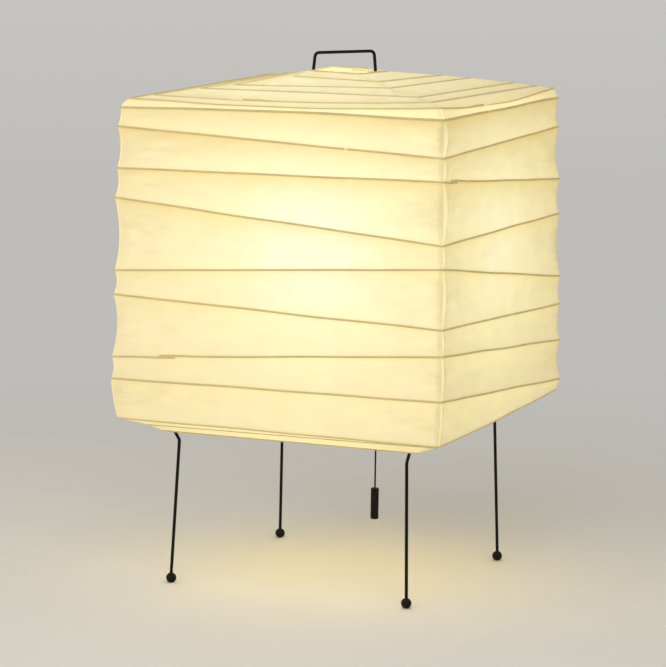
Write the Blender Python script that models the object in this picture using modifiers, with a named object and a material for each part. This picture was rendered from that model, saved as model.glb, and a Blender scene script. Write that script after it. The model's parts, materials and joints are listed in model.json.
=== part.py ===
"""Paper table lamp: a ribbed square paper shade on a wire stand, with lampholder, bulb and pull switch.

Metres, +Z up. The origin lies on the floor under the middle of the shade. +X runs along the front
face to the right and +Y to the back. Corners are counted front left, front right, back right, back left.
"""

import math

import bmesh
import bpy
from mathutils import Matrix, Vector

# Shade: outside sizes over the paper
STAND_HEIGHT = 0.158
SHADE_HEIGHT = 0.295
SHADE_HALF = 0.1625
SHADE_TAPER = 0.003
SHOULDER_INSET = 0.0055
EDGE_INSET = 0.003
ROOF_RISE = 0.027
UNDERSIDE_DROP = 0.0128
OPENING_INSET = 0.0328
PAPER_THICKNESS = 0.0005
PAPER_SEAM = 0.0006
PAPER_SAG_CORNER = 0.004
PAPER_SAG_MIDDLE = 0.001
SAG_FULL_BAND = 0.040

# Ribs: split bamboo rings pasted inside the paper
RIB_DIAMETER = 0.0022
RIB_CORNER_RADIUS = 0.003
COLLAR_CORNER_RADIUS = 0.003

# Wire frame, legs and feet
WIRE_DIAMETER = 0.003
ARM_LEVEL_REACH = 0.060
FINGER_BEND_RADIUS = 0.003
FINGER_OVERHANG = 0.003
LEG_SLOPE = 60
LEG_CROOK_RADIUS = 0.004
LEG_KNEE_RADIUS = 0.006
FOOT_DIAMETER = 0.0098
FOOT_FLAT_RADIUS = 0.0017
HANDLE_HALF_TOP = 0.0297
HANDLE_HALF_FOOT = 0.0315
HANDLE_HEIGHT = 0.0177
HANDLE_TILT = 0.001
HANDLE_BEND_RADIUS = 0.0042
COLLAR_SHIFT = -0.0042
COLLAR_TILT = 0.0025
UPRIGHT_GAP = 0.010

# Hub and stem
PLATE_THICKNESS = 0.0015
STEM_RADIUS = 0.005
STEM_WALL = 0.0015
STEM_FLANGE_WIDTH = 0.003
STEM_FLANGE_THICKNESS = 0.002
STEM_TAIL = 0.003
NUT_WALL = 0.0031
NUT_THICKNESS = 0.003
SCREW_RADIUS = 0.0015
SCREW_HEAD_RIM = 0.0013
SCREW_HEAD_THICKNESS = 0.002
SCREW_ROOM = 0.0031
SCREW_EDGE = 0.006
SOCKET_WALL = 0.002
SOCKET_HEIGHT = 0.014
SOCKET_WEB = 0.0018
BUSH_FLANGE_RADIUS = 0.006
BUSH_FLANGE_THICKNESS = 0.002
BUSH_DEPTH = 0.006
BUSH_WALL = 0.0008

# Lampholder
HOLDER_RISE = 0.057
HOLDER_RADIUS = 0.020
HOLDER_WALL = 0.0025
HOLDER_FLOOR = 0.003
LEDGE_WIDTH = 0.002
LEDGE_ROOM = 0.002
INSULATOR_THICKNESS = 0.004
SLEEVE_HEIGHT = 0.0277
SLEEVE_FLANGE = 0.002
SLEEVE_STEP = 0.001
SHELL_RADIUS = 0.0139
SHELL_WALL = 0.0005
SHELL_HEIGHT = 0.0255
SHELL_TO_SLEEVE = 0.0008
CONTACT_RADIUS = 0.004
CONTACT_HEIGHT = 0.002
TERMINAL_LENGTH = 0.010
TERMINAL_HEIGHT = 0.007

# Pull switch beside the lampholder
PULL_TRAVEL = 0.008
CHAMBER_WALL = 0.002
CHAMBER_END_ROOM = 0.004
CHAMBER_SIDE_ROOM = 0.0025
CHAMBER_TOP_ROOM = 0.0015
COVER_THICKNESS = 0.002
LEVER_PIVOT = 0.016
LEVER_LENGTH = 0.019
LEVER_TIP = 0.003
LEVER_HALF_WIDTH = 0.0025
LEVER_THICKNESS = 0.003
LEVER_BOSS_RADIUS = 0.0035
PIN_RADIUS = 0.001
SLOT_HALF_WIDTH = 0.0012
SLOT_DEPTH = 0.004
LINK_BALL_RADIUS = 0.002
LINK_NECK_RADIUS = 0.0009
LINK_END_RADIUS = 0.0016
LINK_END_LENGTH = 0.003
LINK_SHOWN = 0.003
GUIDE_RADIUS = 0.003
GUIDE_FLANGE_RADIUS = 0.0045
GUIDE_FLANGE_THICKNESS = 0.001
GUIDE_TAIL = 0.005
GUIDE_PLAY = 0.0006
SPRING_RADIUS = 0.0022
SPRING_WIRE = 0.0007
SPRING_TURNS = 5
PULL_CORD_LENGTH = 0.109
PULL_CORD_DIAMETER = 0.0016
PULL_WEIGHT_RADIUS = 0.00385
PULL_WEIGHT_LENGTH = 0.030
PULL_WEIGHT_CHAMFER = 0.0006

# Bulb
BULB_RADIUS = 0.030
BULB_LENGTH = 0.108
BULB_WALL = 0.0008
BULB_CAP_WALL = 0.0005
BULB_CAP_HEIGHT = 0.0265
BULB_CAP_TAPER = 0.005
BULB_CAP_FOOT_RADIUS = 0.0055
BULB_CAP_FLOOR = 0.006
BULB_CONTACT_RADIUS = 0.0045
BULB_CONTACT_HEIGHT = 0.0015
BULB_NECK_DEPTH = 0.007
BULB_NECK_ANGLE = -50
EMITTER_FLARE_HEIGHT = 0.002
EMITTER_ROD_RADIUS = 0.003
EMITTER_TIP_RADIUS = 0.005

# Clearance between pieces that touch
CLEARANCE = 0.0003

# How each leg is bent: knee inside the ring's corner, knee below the ring, foot inside the ring's corner
LEG_BENDS = (
    (0.0158, 0.0097, 0.0090),
    (0.0218, 0.0129, 0.0162),
    (0.0187, 0.0045, 0.0123),
    (0.0154, 0.0095, 0.0131),
)

# How far the roof's ridges hang below a straight line, or arch above it, halfway up
RIDGE_SAGS = (0.0026, 0.0008, -0.0022, 0.0008)

# Rib heights at the four corners, as shares of the side's height above the bottom edge
SIDE_RIBS = (
    ("rib_shoulder_upper", (1.000, 1.000, 1.041, 1.062)),
    ("rib_shoulder_lower", (0.973, 0.966, 1.010, 1.030)),
    ("rib_side_1", (0.915, 0.854, 0.915, 0.949)),
    ("rib_side_2", (0.786, 0.786, 0.742, 0.766)),
    ("rib_side_3", (0.695, 0.597, 0.627, 0.678)),
    ("rib_side_4", (0.468, 0.529, 0.417, 0.447)),
    ("rib_side_5", (0.393, 0.349, 0.325, 0.353)),
    ("rib_side_6", (0.197, 0.271, 0.203, 0.163)),
    ("rib_side_7", (0.129, 0.136, 0.071, 0.095)),
    ("rib_bottom_edge", (0.003, 0.000, 0.034, 0.024)),
)

# Roof ribs at the four corners, as shares of the way from the shoulder to the collar
ROOF_RIBS = (
    ("rib_roof_1", (0.13, 0.11, 0.10, 0.11)),
    ("rib_roof_2", (0.39, 0.26, 0.23, 0.31)),
    ("rib_roof_3", (0.57, 0.60, 0.48, 0.50)),
    ("rib_roof_4", (0.92, 0.75, 0.64, 0.76)),
)

# Underside rib at the four corners, as shares of the way from the bottom edge to the opening
UNDERSIDE_RIB = (0.70, 0.12, 0.35, 0.60)

# Where the roof and the underside leave the ribs at the shade's edges, in degrees from level
ROOF_PAPER_TILT = 55
UNDERSIDE_PAPER_TILT = 50

CORNER_SIGNS = ((-1, -1), (1, -1), (1, 1), (-1, 1))
CORNER_NAMES = ("front_left", "front_right", "back_right", "back_left")
FACE_NAMES = ("front", "right", "back", "left")
FACE_INWARD = (Vector((0, 1, 0)), Vector((-1, 0, 0)), Vector((0, -1, 0)), Vector((1, 0, 0)))

# Mesh counts
ROUND_SEGMENTS = 20
WIDE_SEGMENTS = 32
SMALL_SEGMENTS = 16
TINY_SEGMENTS = 12
ARC_STEP_DEGREES = 20
CORNER_STEPS = 2
BEND_STEPS = 5
NECK_STEPS = 4
SPRING_POINTS_PER_TURN = 8
BAND_STEPS = 3
SIDE_COLUMNS = 5
ROOF_COLUMNS = 4
CORD_STEP_DIAMETERS = 2.8

# Sizes that follow from those above
DIAGONAL = math.sqrt(2)
RIB_RADIUS = RIB_DIAMETER / 2
WIRE_RADIUS = WIRE_DIAMETER / 2
RIB_SEAT = RIB_RADIUS + CLEARANCE
RIB_INSET = RIB_SEAT + PAPER_THICKNESS
WIRE_TO_RIB = RIB_SEAT + WIRE_RADIUS
COLLAR_REACH = HANDLE_HALF_FOOT + WIRE_TO_RIB
COLLAR_HALF = (COLLAR_REACH + COLLAR_CORNER_RADIUS * (DIAGONAL - 1)) / DIAGONAL
COLLAR_HEIGHT = STAND_HEIGHT + SHADE_HEIGHT + ROOF_RISE
OPENING_HALF = SHADE_HALF - OPENING_INSET
RING_HALF = OPENING_HALF - RIB_INSET
RING_HEIGHT = STAND_HEIGHT - UNDERSIDE_DROP
RING_REACH = RING_HALF * DIAGONAL - RIB_CORNER_RADIUS * (DIAGONAL - 1)
ARM_HEIGHT = RING_HEIGHT + WIRE_TO_RIB
PLATE_SEAT = WIRE_RADIUS + CLEARANCE
UPPER_PLATE_TOP = ARM_HEIGHT + PLATE_SEAT + PLATE_THICKNESS
LOWER_PLATE_BOTTOM = ARM_HEIGHT - PLATE_SEAT - PLATE_THICKNESS
NUT_RADIUS = STEM_RADIUS + NUT_WALL
STEM_FLANGE_RADIUS = STEM_RADIUS + STEM_FLANGE_WIDTH
SCREW_HEAD_RADIUS = SCREW_RADIUS + SCREW_HEAD_RIM
SCREW_REACH = NUT_RADIUS + SCREW_ROOM + SCREW_HEAD_RADIUS
HUB_RADIUS = SCREW_REACH + SCREW_EDGE
SOCKET_RADIUS = WIRE_RADIUS + SOCKET_WALL
LOWER_NUT_TOP = LOWER_PLATE_BOTTOM - CLEARANCE
STEM_BOTTOM = LOWER_NUT_TOP - NUT_THICKNESS - STEM_TAIL
UPRIGHT_REACH = BULB_RADIUS + UPRIGHT_GAP
HOLDER_BOTTOM = ARM_HEIGHT + HOLDER_RISE
HOLDER_INNER = HOLDER_RADIUS - HOLDER_WALL
CUP_INNER = HOLDER_INNER - LEDGE_WIDTH
LEVER_HEIGHT = HOLDER_BOTTOM + HOLDER_FLOOR + PULL_TRAVEL + 2 * LEVER_THICKNESS
LEDGE_HEIGHT = LEVER_HEIGHT + LEVER_BOSS_RADIUS + LEDGE_ROOM
INSULATOR_BOTTOM = LEDGE_HEIGHT + CLEARANCE
INSULATOR_TOP = INSULATOR_BOTTOM + INSULATOR_THICKNESS
HOLDER_TOP = INSULATOR_TOP + CLEARANCE
SLEEVE_BOTTOM = HOLDER_TOP + CLEARANCE
BULB_BOTTOM = INSULATOR_TOP + CONTACT_HEIGHT + 2 * CLEARANCE
CAP_BOTTOM = BULB_BOTTOM + BULB_CONTACT_HEIGHT + CLEARANCE
CAP_TOP = CAP_BOTTOM + BULB_CAP_HEIGHT
CAP_RADIUS = SHELL_RADIUS - SHELL_WALL - CLEARANCE
BULB_NECK_RADIUS = CAP_RADIUS - BULB_CAP_WALL - CLEARANCE
BALL_SEAT = math.sqrt((LINK_BALL_RADIUS + CLEARANCE) ** 2 - SLOT_HALF_WIDTH ** 2)
BALL_HEIGHT = LEVER_HEIGHT + LEVER_THICKNESS / 2 + BALL_SEAT
PULL_REACH = LEVER_PIVOT + LEVER_LENGTH
CHAMBER_LENGTH = PULL_REACH + LEVER_TIP + CHAMBER_END_ROOM + CHAMBER_WALL
CHAMBER_HALF_WIDTH = GUIDE_FLANGE_RADIUS + CHAMBER_SIDE_ROOM + CHAMBER_WALL
CHAMBER_TOP = BALL_HEIGHT + LINK_BALL_RADIUS + CHAMBER_TOP_ROOM
SPRING_PLACE = (LEVER_PIVOT + LEVER_BOSS_RADIUS + PULL_REACH - GUIDE_FLANGE_RADIUS) / 2
LINK_BOTTOM = HOLDER_BOTTOM - GUIDE_TAIL - LINK_SHOWN - LINK_END_LENGTH
CORD_TOP = LINK_BOTTOM - CLEARANCE
CORD_BOTTOM = CORD_TOP - PULL_CORD_LENGTH
WEIGHT_TOP = CORD_BOTTOM - CLEARANCE


def new_collection(name):
    """An empty collection in the scene."""
    collection = bpy.data.collections.new(name)
    bpy.context.scene.collection.children.link(collection)
    return collection


def new_material(name, colour, roughness, metallic=0.0):
    """A Principled material of one colour."""
    material = bpy.data.materials.new(name)
    material.use_nodes = True
    shader = material.node_tree.nodes["Principled BSDF"]
    shader.inputs["Base Color"].default_value = (*colour, 1.0)
    shader.inputs["Roughness"].default_value = roughness
    shader.inputs["Metallic"].default_value = metallic
    return material


def add_part(name, data, material):
    """One named piece of the lamp."""
    part = bpy.data.objects.new(name, data)
    data.materials.append(material)
    parts.objects.link(part)
    return part


def add_cutter(name, mesh):
    """A shape that only cuts or joins other pieces."""
    cutter = bpy.data.objects.new(name, mesh)
    cutter.hide_render = True
    cutter.display_type = "WIRE"
    cutters.objects.link(cutter)
    return cutter


def apply_boolean(part, cutter, operation="DIFFERENCE"):
    """Cut a piece with a cutter, or join the two."""
    modifier = part.modifiers.new(cutter.name, "BOOLEAN")
    modifier.operation = operation
    modifier.solver = "EXACT"
    modifier.object = cutter


def box_mesh(name, low, high):
    """A box between two corners."""
    mesh = bpy.data.meshes.new(name)
    work = bmesh.new()
    size = Vector(high) - Vector(low)
    middle = (Vector(high) + Vector(low)) / 2
    bmesh.ops.create_cube(work, size=1.0, matrix=Matrix.Translation(middle) @ Matrix.Diagonal((*size, 1.0)))
    work.to_mesh(mesh)
    work.free()
    return mesh


def rod_mesh(name, start, end, radius, segments=ROUND_SEGMENTS):
    """A solid cylinder between two points."""
    mesh = bpy.data.meshes.new(name)
    work = bmesh.new()
    along = Vector(end) - Vector(start)
    turn = along.to_track_quat("Z", "Y").to_matrix().to_4x4()
    middle = Matrix.Translation((Vector(start) + Vector(end)) / 2)
    bmesh.ops.create_cone(work, cap_ends=True, segments=segments, radius1=radius, radius2=radius,
                          depth=along.length, matrix=middle @ turn)
    work.to_mesh(mesh)
    work.free()
    return mesh


def turned_part(name, profile, material, place=(0.0, 0.0, 0.0), closed=False, segments=ROUND_SEGMENTS):
    """A piece turned about Z from (radius, height) points that run down its outer side."""
    mesh = bpy.data.meshes.new(name)
    edges = [(i, i + 1) for i in range(len(profile) - 1)]
    if closed:
        edges.append((len(profile) - 1, 0))
    mesh.from_pydata([(radius, 0.0, height) for radius, height in profile], edges, [])
    part = add_part(name, mesh, material)
    part.location = place
    screw = part.modifiers.new("turn", "SCREW")
    screw.axis = "Z"
    screw.angle = math.tau
    screw.steps = segments
    screw.render_steps = segments
    screw.use_merge_vertices = True
    screw.merge_threshold = 0.00001
    screw.use_smooth_shade = True
    return part


def ring_profile(inner, outer, bottom, top):
    """Profile of a plain tube or washer."""
    return [(outer, top), (outer, bottom), (inner, bottom), (inner, top)]


def wire_part(name, points, diameter, material, cyclic=False, resolution=2):
    """A round wire along a line of points."""
    curve = bpy.data.curves.new(name, "CURVE")
    curve.dimensions = "3D"
    curve.bevel_depth = diameter / 2
    curve.bevel_resolution = resolution
    curve.use_fill_caps = not cyclic
    spline = curve.splines.new("POLY")
    spline.points.add(len(points) - 1)
    for spline_point, point in zip(spline.points, points):
        spline_point.co = (*point, 1.0)
    spline.use_cyclic_u = cyclic
    return add_part(name, curve, material)


def fillet(before, corner, after, radius, steps):
    """Points of the arc that rounds off a corner."""
    back = (before - corner).normalized()
    ahead = (after - corner).normalized()
    half = back.angle(ahead) / 2
    centre = corner + (back + ahead).normalized() * (radius / math.sin(half))
    first = corner + back * (radius / math.tan(half)) - centre
    last = corner + ahead * (radius / math.tan(half)) - centre
    axis = first.cross(last).normalized()
    sweep = first.angle(last)
    return [centre + Matrix.Rotation(sweep * i / steps, 3, axis) @ first for i in range(steps + 1)]


def arc_points(centre, radius, start_degrees, end_degrees):
    """Points (along, height) of an arc in an upright plane."""
    steps = math.ceil(abs(end_degrees - start_degrees) / ARC_STEP_DEGREES)
    points = []
    for i in range(steps + 1):
        angle = math.radians(start_degrees + (end_degrees - start_degrees) * i / steps)
        points.append((centre[0] + radius * math.cos(angle), centre[1] + radius * math.sin(angle)))
    return points


def diagonal_point(signs, along, height):
    """A point in the upright plane through the axis and one corner."""
    return Vector((signs[0] * along / DIAGONAL, signs[1] * along / DIAGONAL, height))


def square_corners(half, heights, shift=0.0):
    """Corners of a square ring whose heights may differ."""
    return [Vector((x * half + shift, y * half + shift, z)) for (x, y), z in zip(CORNER_SIGNS, heights)]


def ring_path(corners, radius, columns=0):
    """A closed line round four rounded corners, with extra points along the straights."""
    path = []
    for i, corner in enumerate(corners):
        following = corners[(i + 1) % 4]
        arc = fillet(corners[i - 1], corner, following, radius, CORNER_STEPS)
        path.extend(arc)
        next_arc = fillet(corner, following, corners[(i + 2) % 4], radius, CORNER_STEPS)
        for column in range(1, columns + 1):
            path.append(arc[-1].lerp(next_arc[0], column / (columns + 1)))
    return path


def side_line(corners, face, radius):
    """The stretch of a rib's line that one side panel covers, seam to seam."""
    start = corners[face]
    end = corners[(face + 1) % 4]
    along = (end - start).normalized()
    first_arc = fillet(corners[face - 1], start, end, radius, CORNER_STEPS)
    last_arc = fillet(start, end, corners[(face + 2) % 4], radius, CORNER_STEPS)
    seam = along * (PAPER_SEAM / DIAGONAL)
    line = [first_arc[1] + seam, first_arc[2]]
    for column in range(1, SIDE_COLUMNS + 1):
        line.append(first_arc[2].lerp(last_arc[0], column / (SIDE_COLUMNS + 1)))
    line.extend((last_arc[0], last_arc[1] - seam))
    return line


def sheet_part(name, rows, material, cyclic):
    """Paper through rows of points, thickened outwards."""
    mesh = bpy.data.meshes.new(name)
    work = bmesh.new()
    grid = [[work.verts.new(point) for point in row] for row in rows]
    count = len(rows[0])
    spans = count if cyclic else count - 1
    for upper, lower in zip(grid, grid[1:]):
        for i in range(spans):
            following = (i + 1) % count
            work.faces.new((lower[i], lower[following], upper[following], upper[i]))
    work.to_mesh(mesh)
    work.free()
    part = add_part(name, mesh, material)
    solidify = part.modifiers.new("thickness", "SOLIDIFY")
    solidify.thickness = PAPER_THICKNESS
    solidify.offset = 1.0
    return part


def rib_heights(shares):
    """Heights of a side rib at the four corners."""
    return [STAND_HEIGHT + SHADE_HEIGHT * share for share in shares]


def rib_half(shares):
    """Outside half width of the shade at a side rib."""
    share = sum(shares) / len(shares)
    return SHADE_HALF + SHADE_TAPER * (1 - 2 * share)


def side_rib_squares():
    """Half width of the rib's centre line, and corner heights, from shoulder to bottom edge."""
    squares = [[rib_half(shares) - RIB_INSET, rib_heights(shares)] for _, shares in SIDE_RIBS]
    squares[0][0] -= SHOULDER_INSET
    squares[-1][0] -= EDGE_INSET
    return squares


def collar_corners():
    """Corners of the collar, which has tipped towards the front right on the wire that carries it."""
    heights = (COLLAR_HEIGHT, COLLAR_HEIGHT - COLLAR_TILT, COLLAR_HEIGHT, COLLAR_HEIGHT + COLLAR_TILT)
    return square_corners(COLLAR_HALF, heights, COLLAR_SHIFT / DIAGONAL)


def roof_rib_corners(shares):
    """Corners of a roof rib on the ridges between shoulder and collar."""
    half, heights = side_rib_squares()[0]
    corners = []
    for low, high, share, sag in zip(square_corners(half, heights), collar_corners(), shares, RIDGE_SAGS):
        corners.append(low.lerp(high, share) - Vector((0, 0, sag * 4 * share * (1 - share))))
    return corners


def build_ribs():
    """The rib rings of the sides, the roof, the collar and the bottom opening."""
    for (name, _), (half, heights) in zip(SIDE_RIBS, side_rib_squares()):
        path = ring_path(square_corners(half, heights), RIB_CORNER_RADIUS)
        wire_part(name, path, RIB_DIAMETER, bamboo, cyclic=True, resolution=1)
    for name, shares in ROOF_RIBS:
        path = ring_path(roof_rib_corners(shares), RIB_CORNER_RADIUS)
        wire_part(name, path, RIB_DIAMETER, bamboo, cyclic=True, resolution=1)
    collar = ring_path(collar_corners(), COLLAR_CORNER_RADIUS)
    wire_part("rib_collar", collar, RIB_DIAMETER, bamboo, cyclic=True, resolution=1)
    edge = square_corners(*side_rib_squares()[-1])
    opening = square_corners(RING_HALF, [RING_HEIGHT] * 4)
    underside = [high.lerp(low, share) for high, low, share in zip(edge, opening, UNDERSIDE_RIB)]
    wire_part("rib_underside", ring_path(underside, RIB_CORNER_RADIUS), RIB_DIAMETER, bamboo, True, 1)
    wire_part("rib_opening", ring_path(opening, RIB_CORNER_RADIUS), RIB_DIAMETER, bamboo, True, 1)


def paper_ring(half, heights, tilt_degrees):
    """Corners and corner radius of the paper's inner line on a rib, at a tilt from level outwards."""
    out = RIB_SEAT * math.cos(math.radians(tilt_degrees))
    up = RIB_SEAT * math.sin(math.radians(tilt_degrees))
    return square_corners(half + out, [height + up for height in heights]), RIB_CORNER_RADIUS + out


def build_sides():
    """Four side panels that draw in between the ribs, most at the corners."""
    squares = side_rib_squares()
    leans = [band_lean(upper, lower) for upper, lower in zip(squares, squares[1:])]
    tilts = [leans[0]] + [(above + below) / 2 for above, below in zip(leans, leans[1:])] + [leans[-1]]
    rings = [paper_ring(half, heights, tilt) for (half, heights), tilt in zip(squares, tilts)]
    for face, face_name in enumerate(FACE_NAMES):
        lines = [side_line(corners, face, radius) for corners, radius in rings]
        rows = [lines[0]]
        for upper, lower in zip(lines, lines[1:]):
            rows.extend(sagging_rows(upper, lower, face))
            rows.append(lower)
        sheet_part("paper_" + face_name, rows, paper, cyclic=False)


def band_lean(upper, lower):
    """How far the paper between two ribs leans back from upright, in degrees."""
    drop = (sum(upper[1]) - sum(lower[1])) / len(CORNER_SIGNS)
    return math.degrees(math.atan2(lower[0] - upper[0], drop))


def sagging_rows(upper, lower, face):
    """Rows of paper between two ribs."""
    last = len(upper) - 1
    rows = []
    for step in range(1, BAND_STEPS):
        share = step / BAND_STEPS
        row = []
        for i, (high, low) in enumerate(zip(upper, lower)):
            from_middle = abs(2 * i / last - 1)
            depth = PAPER_SAG_MIDDLE + (PAPER_SAG_CORNER - PAPER_SAG_MIDDLE) * from_middle ** 4
            depth *= 4 * share * (1 - share) * min(1.0, (high.z - low.z) / SAG_FULL_BAND) ** 2
            inward = FACE_INWARD[face]
            if i == 0:
                inward = (inward + FACE_INWARD[face - 1]).normalized()
            if i == last:
                inward = (inward + FACE_INWARD[(face + 1) % 4]).normalized()
            row.append(high.lerp(low, share) + inward * depth)
        rows.append(row)
    return rows


def build_roof():
    """The roof paper, from the shoulder to the collar."""
    half, heights = side_rib_squares()[0]
    lift = Vector((0, 0, RIB_SEAT))
    rows = [ring_path(*paper_ring(half, heights, ROOF_PAPER_TILT), ROOF_COLUMNS)]
    for _, shares in ROOF_RIBS:
        ring = [corner + lift for corner in roof_rib_corners(shares)]
        rows.append(ring_path(ring, RIB_CORNER_RADIUS, ROOF_COLUMNS))
    collar = [corner + lift for corner in collar_corners()]
    rows.append(ring_path(collar, COLLAR_CORNER_RADIUS, ROOF_COLUMNS))
    rows.reverse()
    sheet_part("paper_roof", rows, paper, cyclic=True)


def build_underside():
    """The paper turned in under the bottom edge."""
    edge, edge_radius = paper_ring(*side_rib_squares()[-1], -UNDERSIDE_PAPER_TILT)
    opening = square_corners(RING_HALF, [RING_HEIGHT - RIB_SEAT] * 4)
    middle = [high.lerp(low, share) for high, low, share in zip(edge, opening, UNDERSIDE_RIB)]
    rows = [ring_path(edge, edge_radius, ROOF_COLUMNS)]
    rows.append(ring_path(middle, RIB_CORNER_RADIUS, ROOF_COLUMNS))
    rows.append(ring_path(opening, RIB_CORNER_RADIUS, ROOF_COLUMNS))
    sheet_part("paper_underside", rows, paper, cyclic=True)


def leg_line(knee_inset, knee_drop, foot_reach):
    """A leg in its upright plane: arm, finger doubled back over the ring's corner, crook, knee, foot."""
    tip = Vector((RING_REACH + FINGER_OVERHANG - FINGER_BEND_RADIUS, 0, ARM_HEIGHT))
    finger = arc_points((tip.x, tip.z + FINGER_BEND_RADIUS), FINGER_BEND_RADIUS, 90, -90)
    knee = Vector((RING_REACH - knee_inset, 0, RING_HEIGHT - knee_drop))
    crook_shift = (ARM_HEIGHT - knee.z) / math.tan(math.radians(LEG_SLOPE))
    crook = Vector((knee.x + crook_shift, 0, ARM_HEIGHT))
    ankle = Vector((foot_reach, 0, FOOT_DIAMETER))
    bends = fillet(tip, crook, knee, LEG_CROOK_RADIUS, BEND_STEPS)
    bends += fillet(crook, knee, ankle, LEG_KNEE_RADIUS, BEND_STEPS)
    line = [(STEM_RADIUS + WIRE_DIAMETER, ARM_HEIGHT), (ARM_LEVEL_REACH, ARM_HEIGHT)] + finger
    line += [(point.x, point.z) for point in bends]
    line += [(ankle.x, ankle.z), (ankle.x, FOOT_DIAMETER / 2)]
    return line


def build_legs():
    """Four legs with their ball feet."""
    for signs, corner_name, bends in zip(CORNER_SIGNS, CORNER_NAMES, LEG_BENDS):
        knee_inset, knee_drop, foot_inset = bends
        foot_reach = RING_REACH - foot_inset
        line = leg_line(knee_inset, knee_drop, foot_reach)
        points = [diagonal_point(signs, along, height) for along, height in line]
        wire_part("leg_" + corner_name, points, WIRE_DIAMETER, black_wire)
        turned_part("foot_" + corner_name, ball_profile(), black_ball,
                    diagonal_point(signs, foot_reach, 0.0), segments=TINY_SEGMENTS)


def ball_profile():
    """A ball with a bore from the top and a small flat to stand on."""
    radius = FOOT_DIAMETER / 2
    bore = WIRE_RADIUS + CLEARANCE
    centre = math.sqrt(radius ** 2 - FOOT_FLAT_RADIUS ** 2)
    top_angle = math.degrees(math.acos(bore / radius))
    bottom_angle = -math.degrees(math.acos(FOOT_FLAT_RADIUS / radius))
    outside = arc_points((0.0, centre), radius, top_angle, bottom_angle)
    bore_bottom = FOOT_DIAMETER / 2 - CLEARANCE
    return [(0.0, bore_bottom), (bore, bore_bottom)] + outside + [(0.0, 0.0)]


def build_stretcher():
    """The wire that stands on the hub, props the collar up and ends in the handle."""
    bar_height = COLLAR_HEIGHT + HANDLE_HEIGHT
    left_half = stretcher_half_line(bar_height - HANDLE_TILT)
    right_half = stretcher_half_line(bar_height + HANDLE_TILT)
    left = [Vector((shift - along, 0, height)) for along, shift, height in left_half]
    right = [Vector((shift + along, 0, height)) for along, shift, height in reversed(right_half)]
    turn = Matrix.Rotation(math.radians(45), 3, "Z")
    wire_part("stretcher", [turn @ point for point in left + right], WIRE_DIAMETER, black_wire)
    for side, side_name in ((-1, "left"), (1, "right")):
        build_socket(side, side_name)


def stretcher_half_line(bar_height):
    """Half of the stretcher: (distance from its middle, sideways shift, height), hub to handle."""
    ring = (COLLAR_REACH, COLLAR_HEIGHT)
    shoulder_height = COLLAR_HEIGHT - WIRE_TO_RIB
    bend = WIRE_TO_RIB
    shoulder = arc_points((UPRIGHT_REACH - bend, shoulder_height - bend), bend, 0, 90)
    cradle = arc_points(ring, WIRE_TO_RIB, -90, -180)
    foot = Vector((HANDLE_HALF_FOOT, 0, COLLAR_HEIGHT))
    corner = Vector((HANDLE_HALF_TOP, 0, bar_height))
    handle_bend = fillet(foot, corner, Vector((0, 0, bar_height)), HANDLE_BEND_RADIUS, BEND_STEPS)
    top = shoulder + cradle + [(point.x, point.z) for point in handle_bend]
    return [(UPRIGHT_REACH, 0.0, socket_floor() + CLEARANCE)] + [(a, COLLAR_SHIFT, z) for a, z in top]


def socket_floor():
    """Height of the bottom of a stretcher socket's bore."""
    return ARM_HEIGHT + PLATE_SEAT + SOCKET_WEB


def build_socket(side, side_name):
    """A short tube saddled on a leg's arm, which the stretcher stands in."""
    signs = (side, side)
    top = socket_floor() + SOCKET_HEIGHT
    tube_start = diagonal_point(signs, UPRIGHT_REACH, ARM_HEIGHT - WIRE_RADIUS / 2)
    tube_end = diagonal_point(signs, UPRIGHT_REACH, top)
    tube = rod_mesh("socket", tube_start, tube_end, SOCKET_RADIUS, SMALL_SEGMENTS)
    socket = add_part("stretcher_socket_" + side_name, tube, steel)
    saddle_start = diagonal_point(signs, UPRIGHT_REACH - 2 * SOCKET_RADIUS, ARM_HEIGHT)
    saddle_end = diagonal_point(signs, UPRIGHT_REACH + 2 * SOCKET_RADIUS, ARM_HEIGHT)
    saddle = rod_mesh("saddle", saddle_start, saddle_end, WIRE_RADIUS + CLEARANCE, TINY_SEGMENTS)
    apply_boolean(socket, add_cutter("saddle_" + side_name, saddle))
    bore_start = diagonal_point(signs, UPRIGHT_REACH, socket_floor())
    bore_end = diagonal_point(signs, UPRIGHT_REACH, top + CLEARANCE)
    bore = rod_mesh("bore", bore_start, bore_end, WIRE_RADIUS + 2 * CLEARANCE, SMALL_SEGMENTS)
    apply_boolean(socket, add_cutter("bore_" + side_name, bore))


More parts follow.
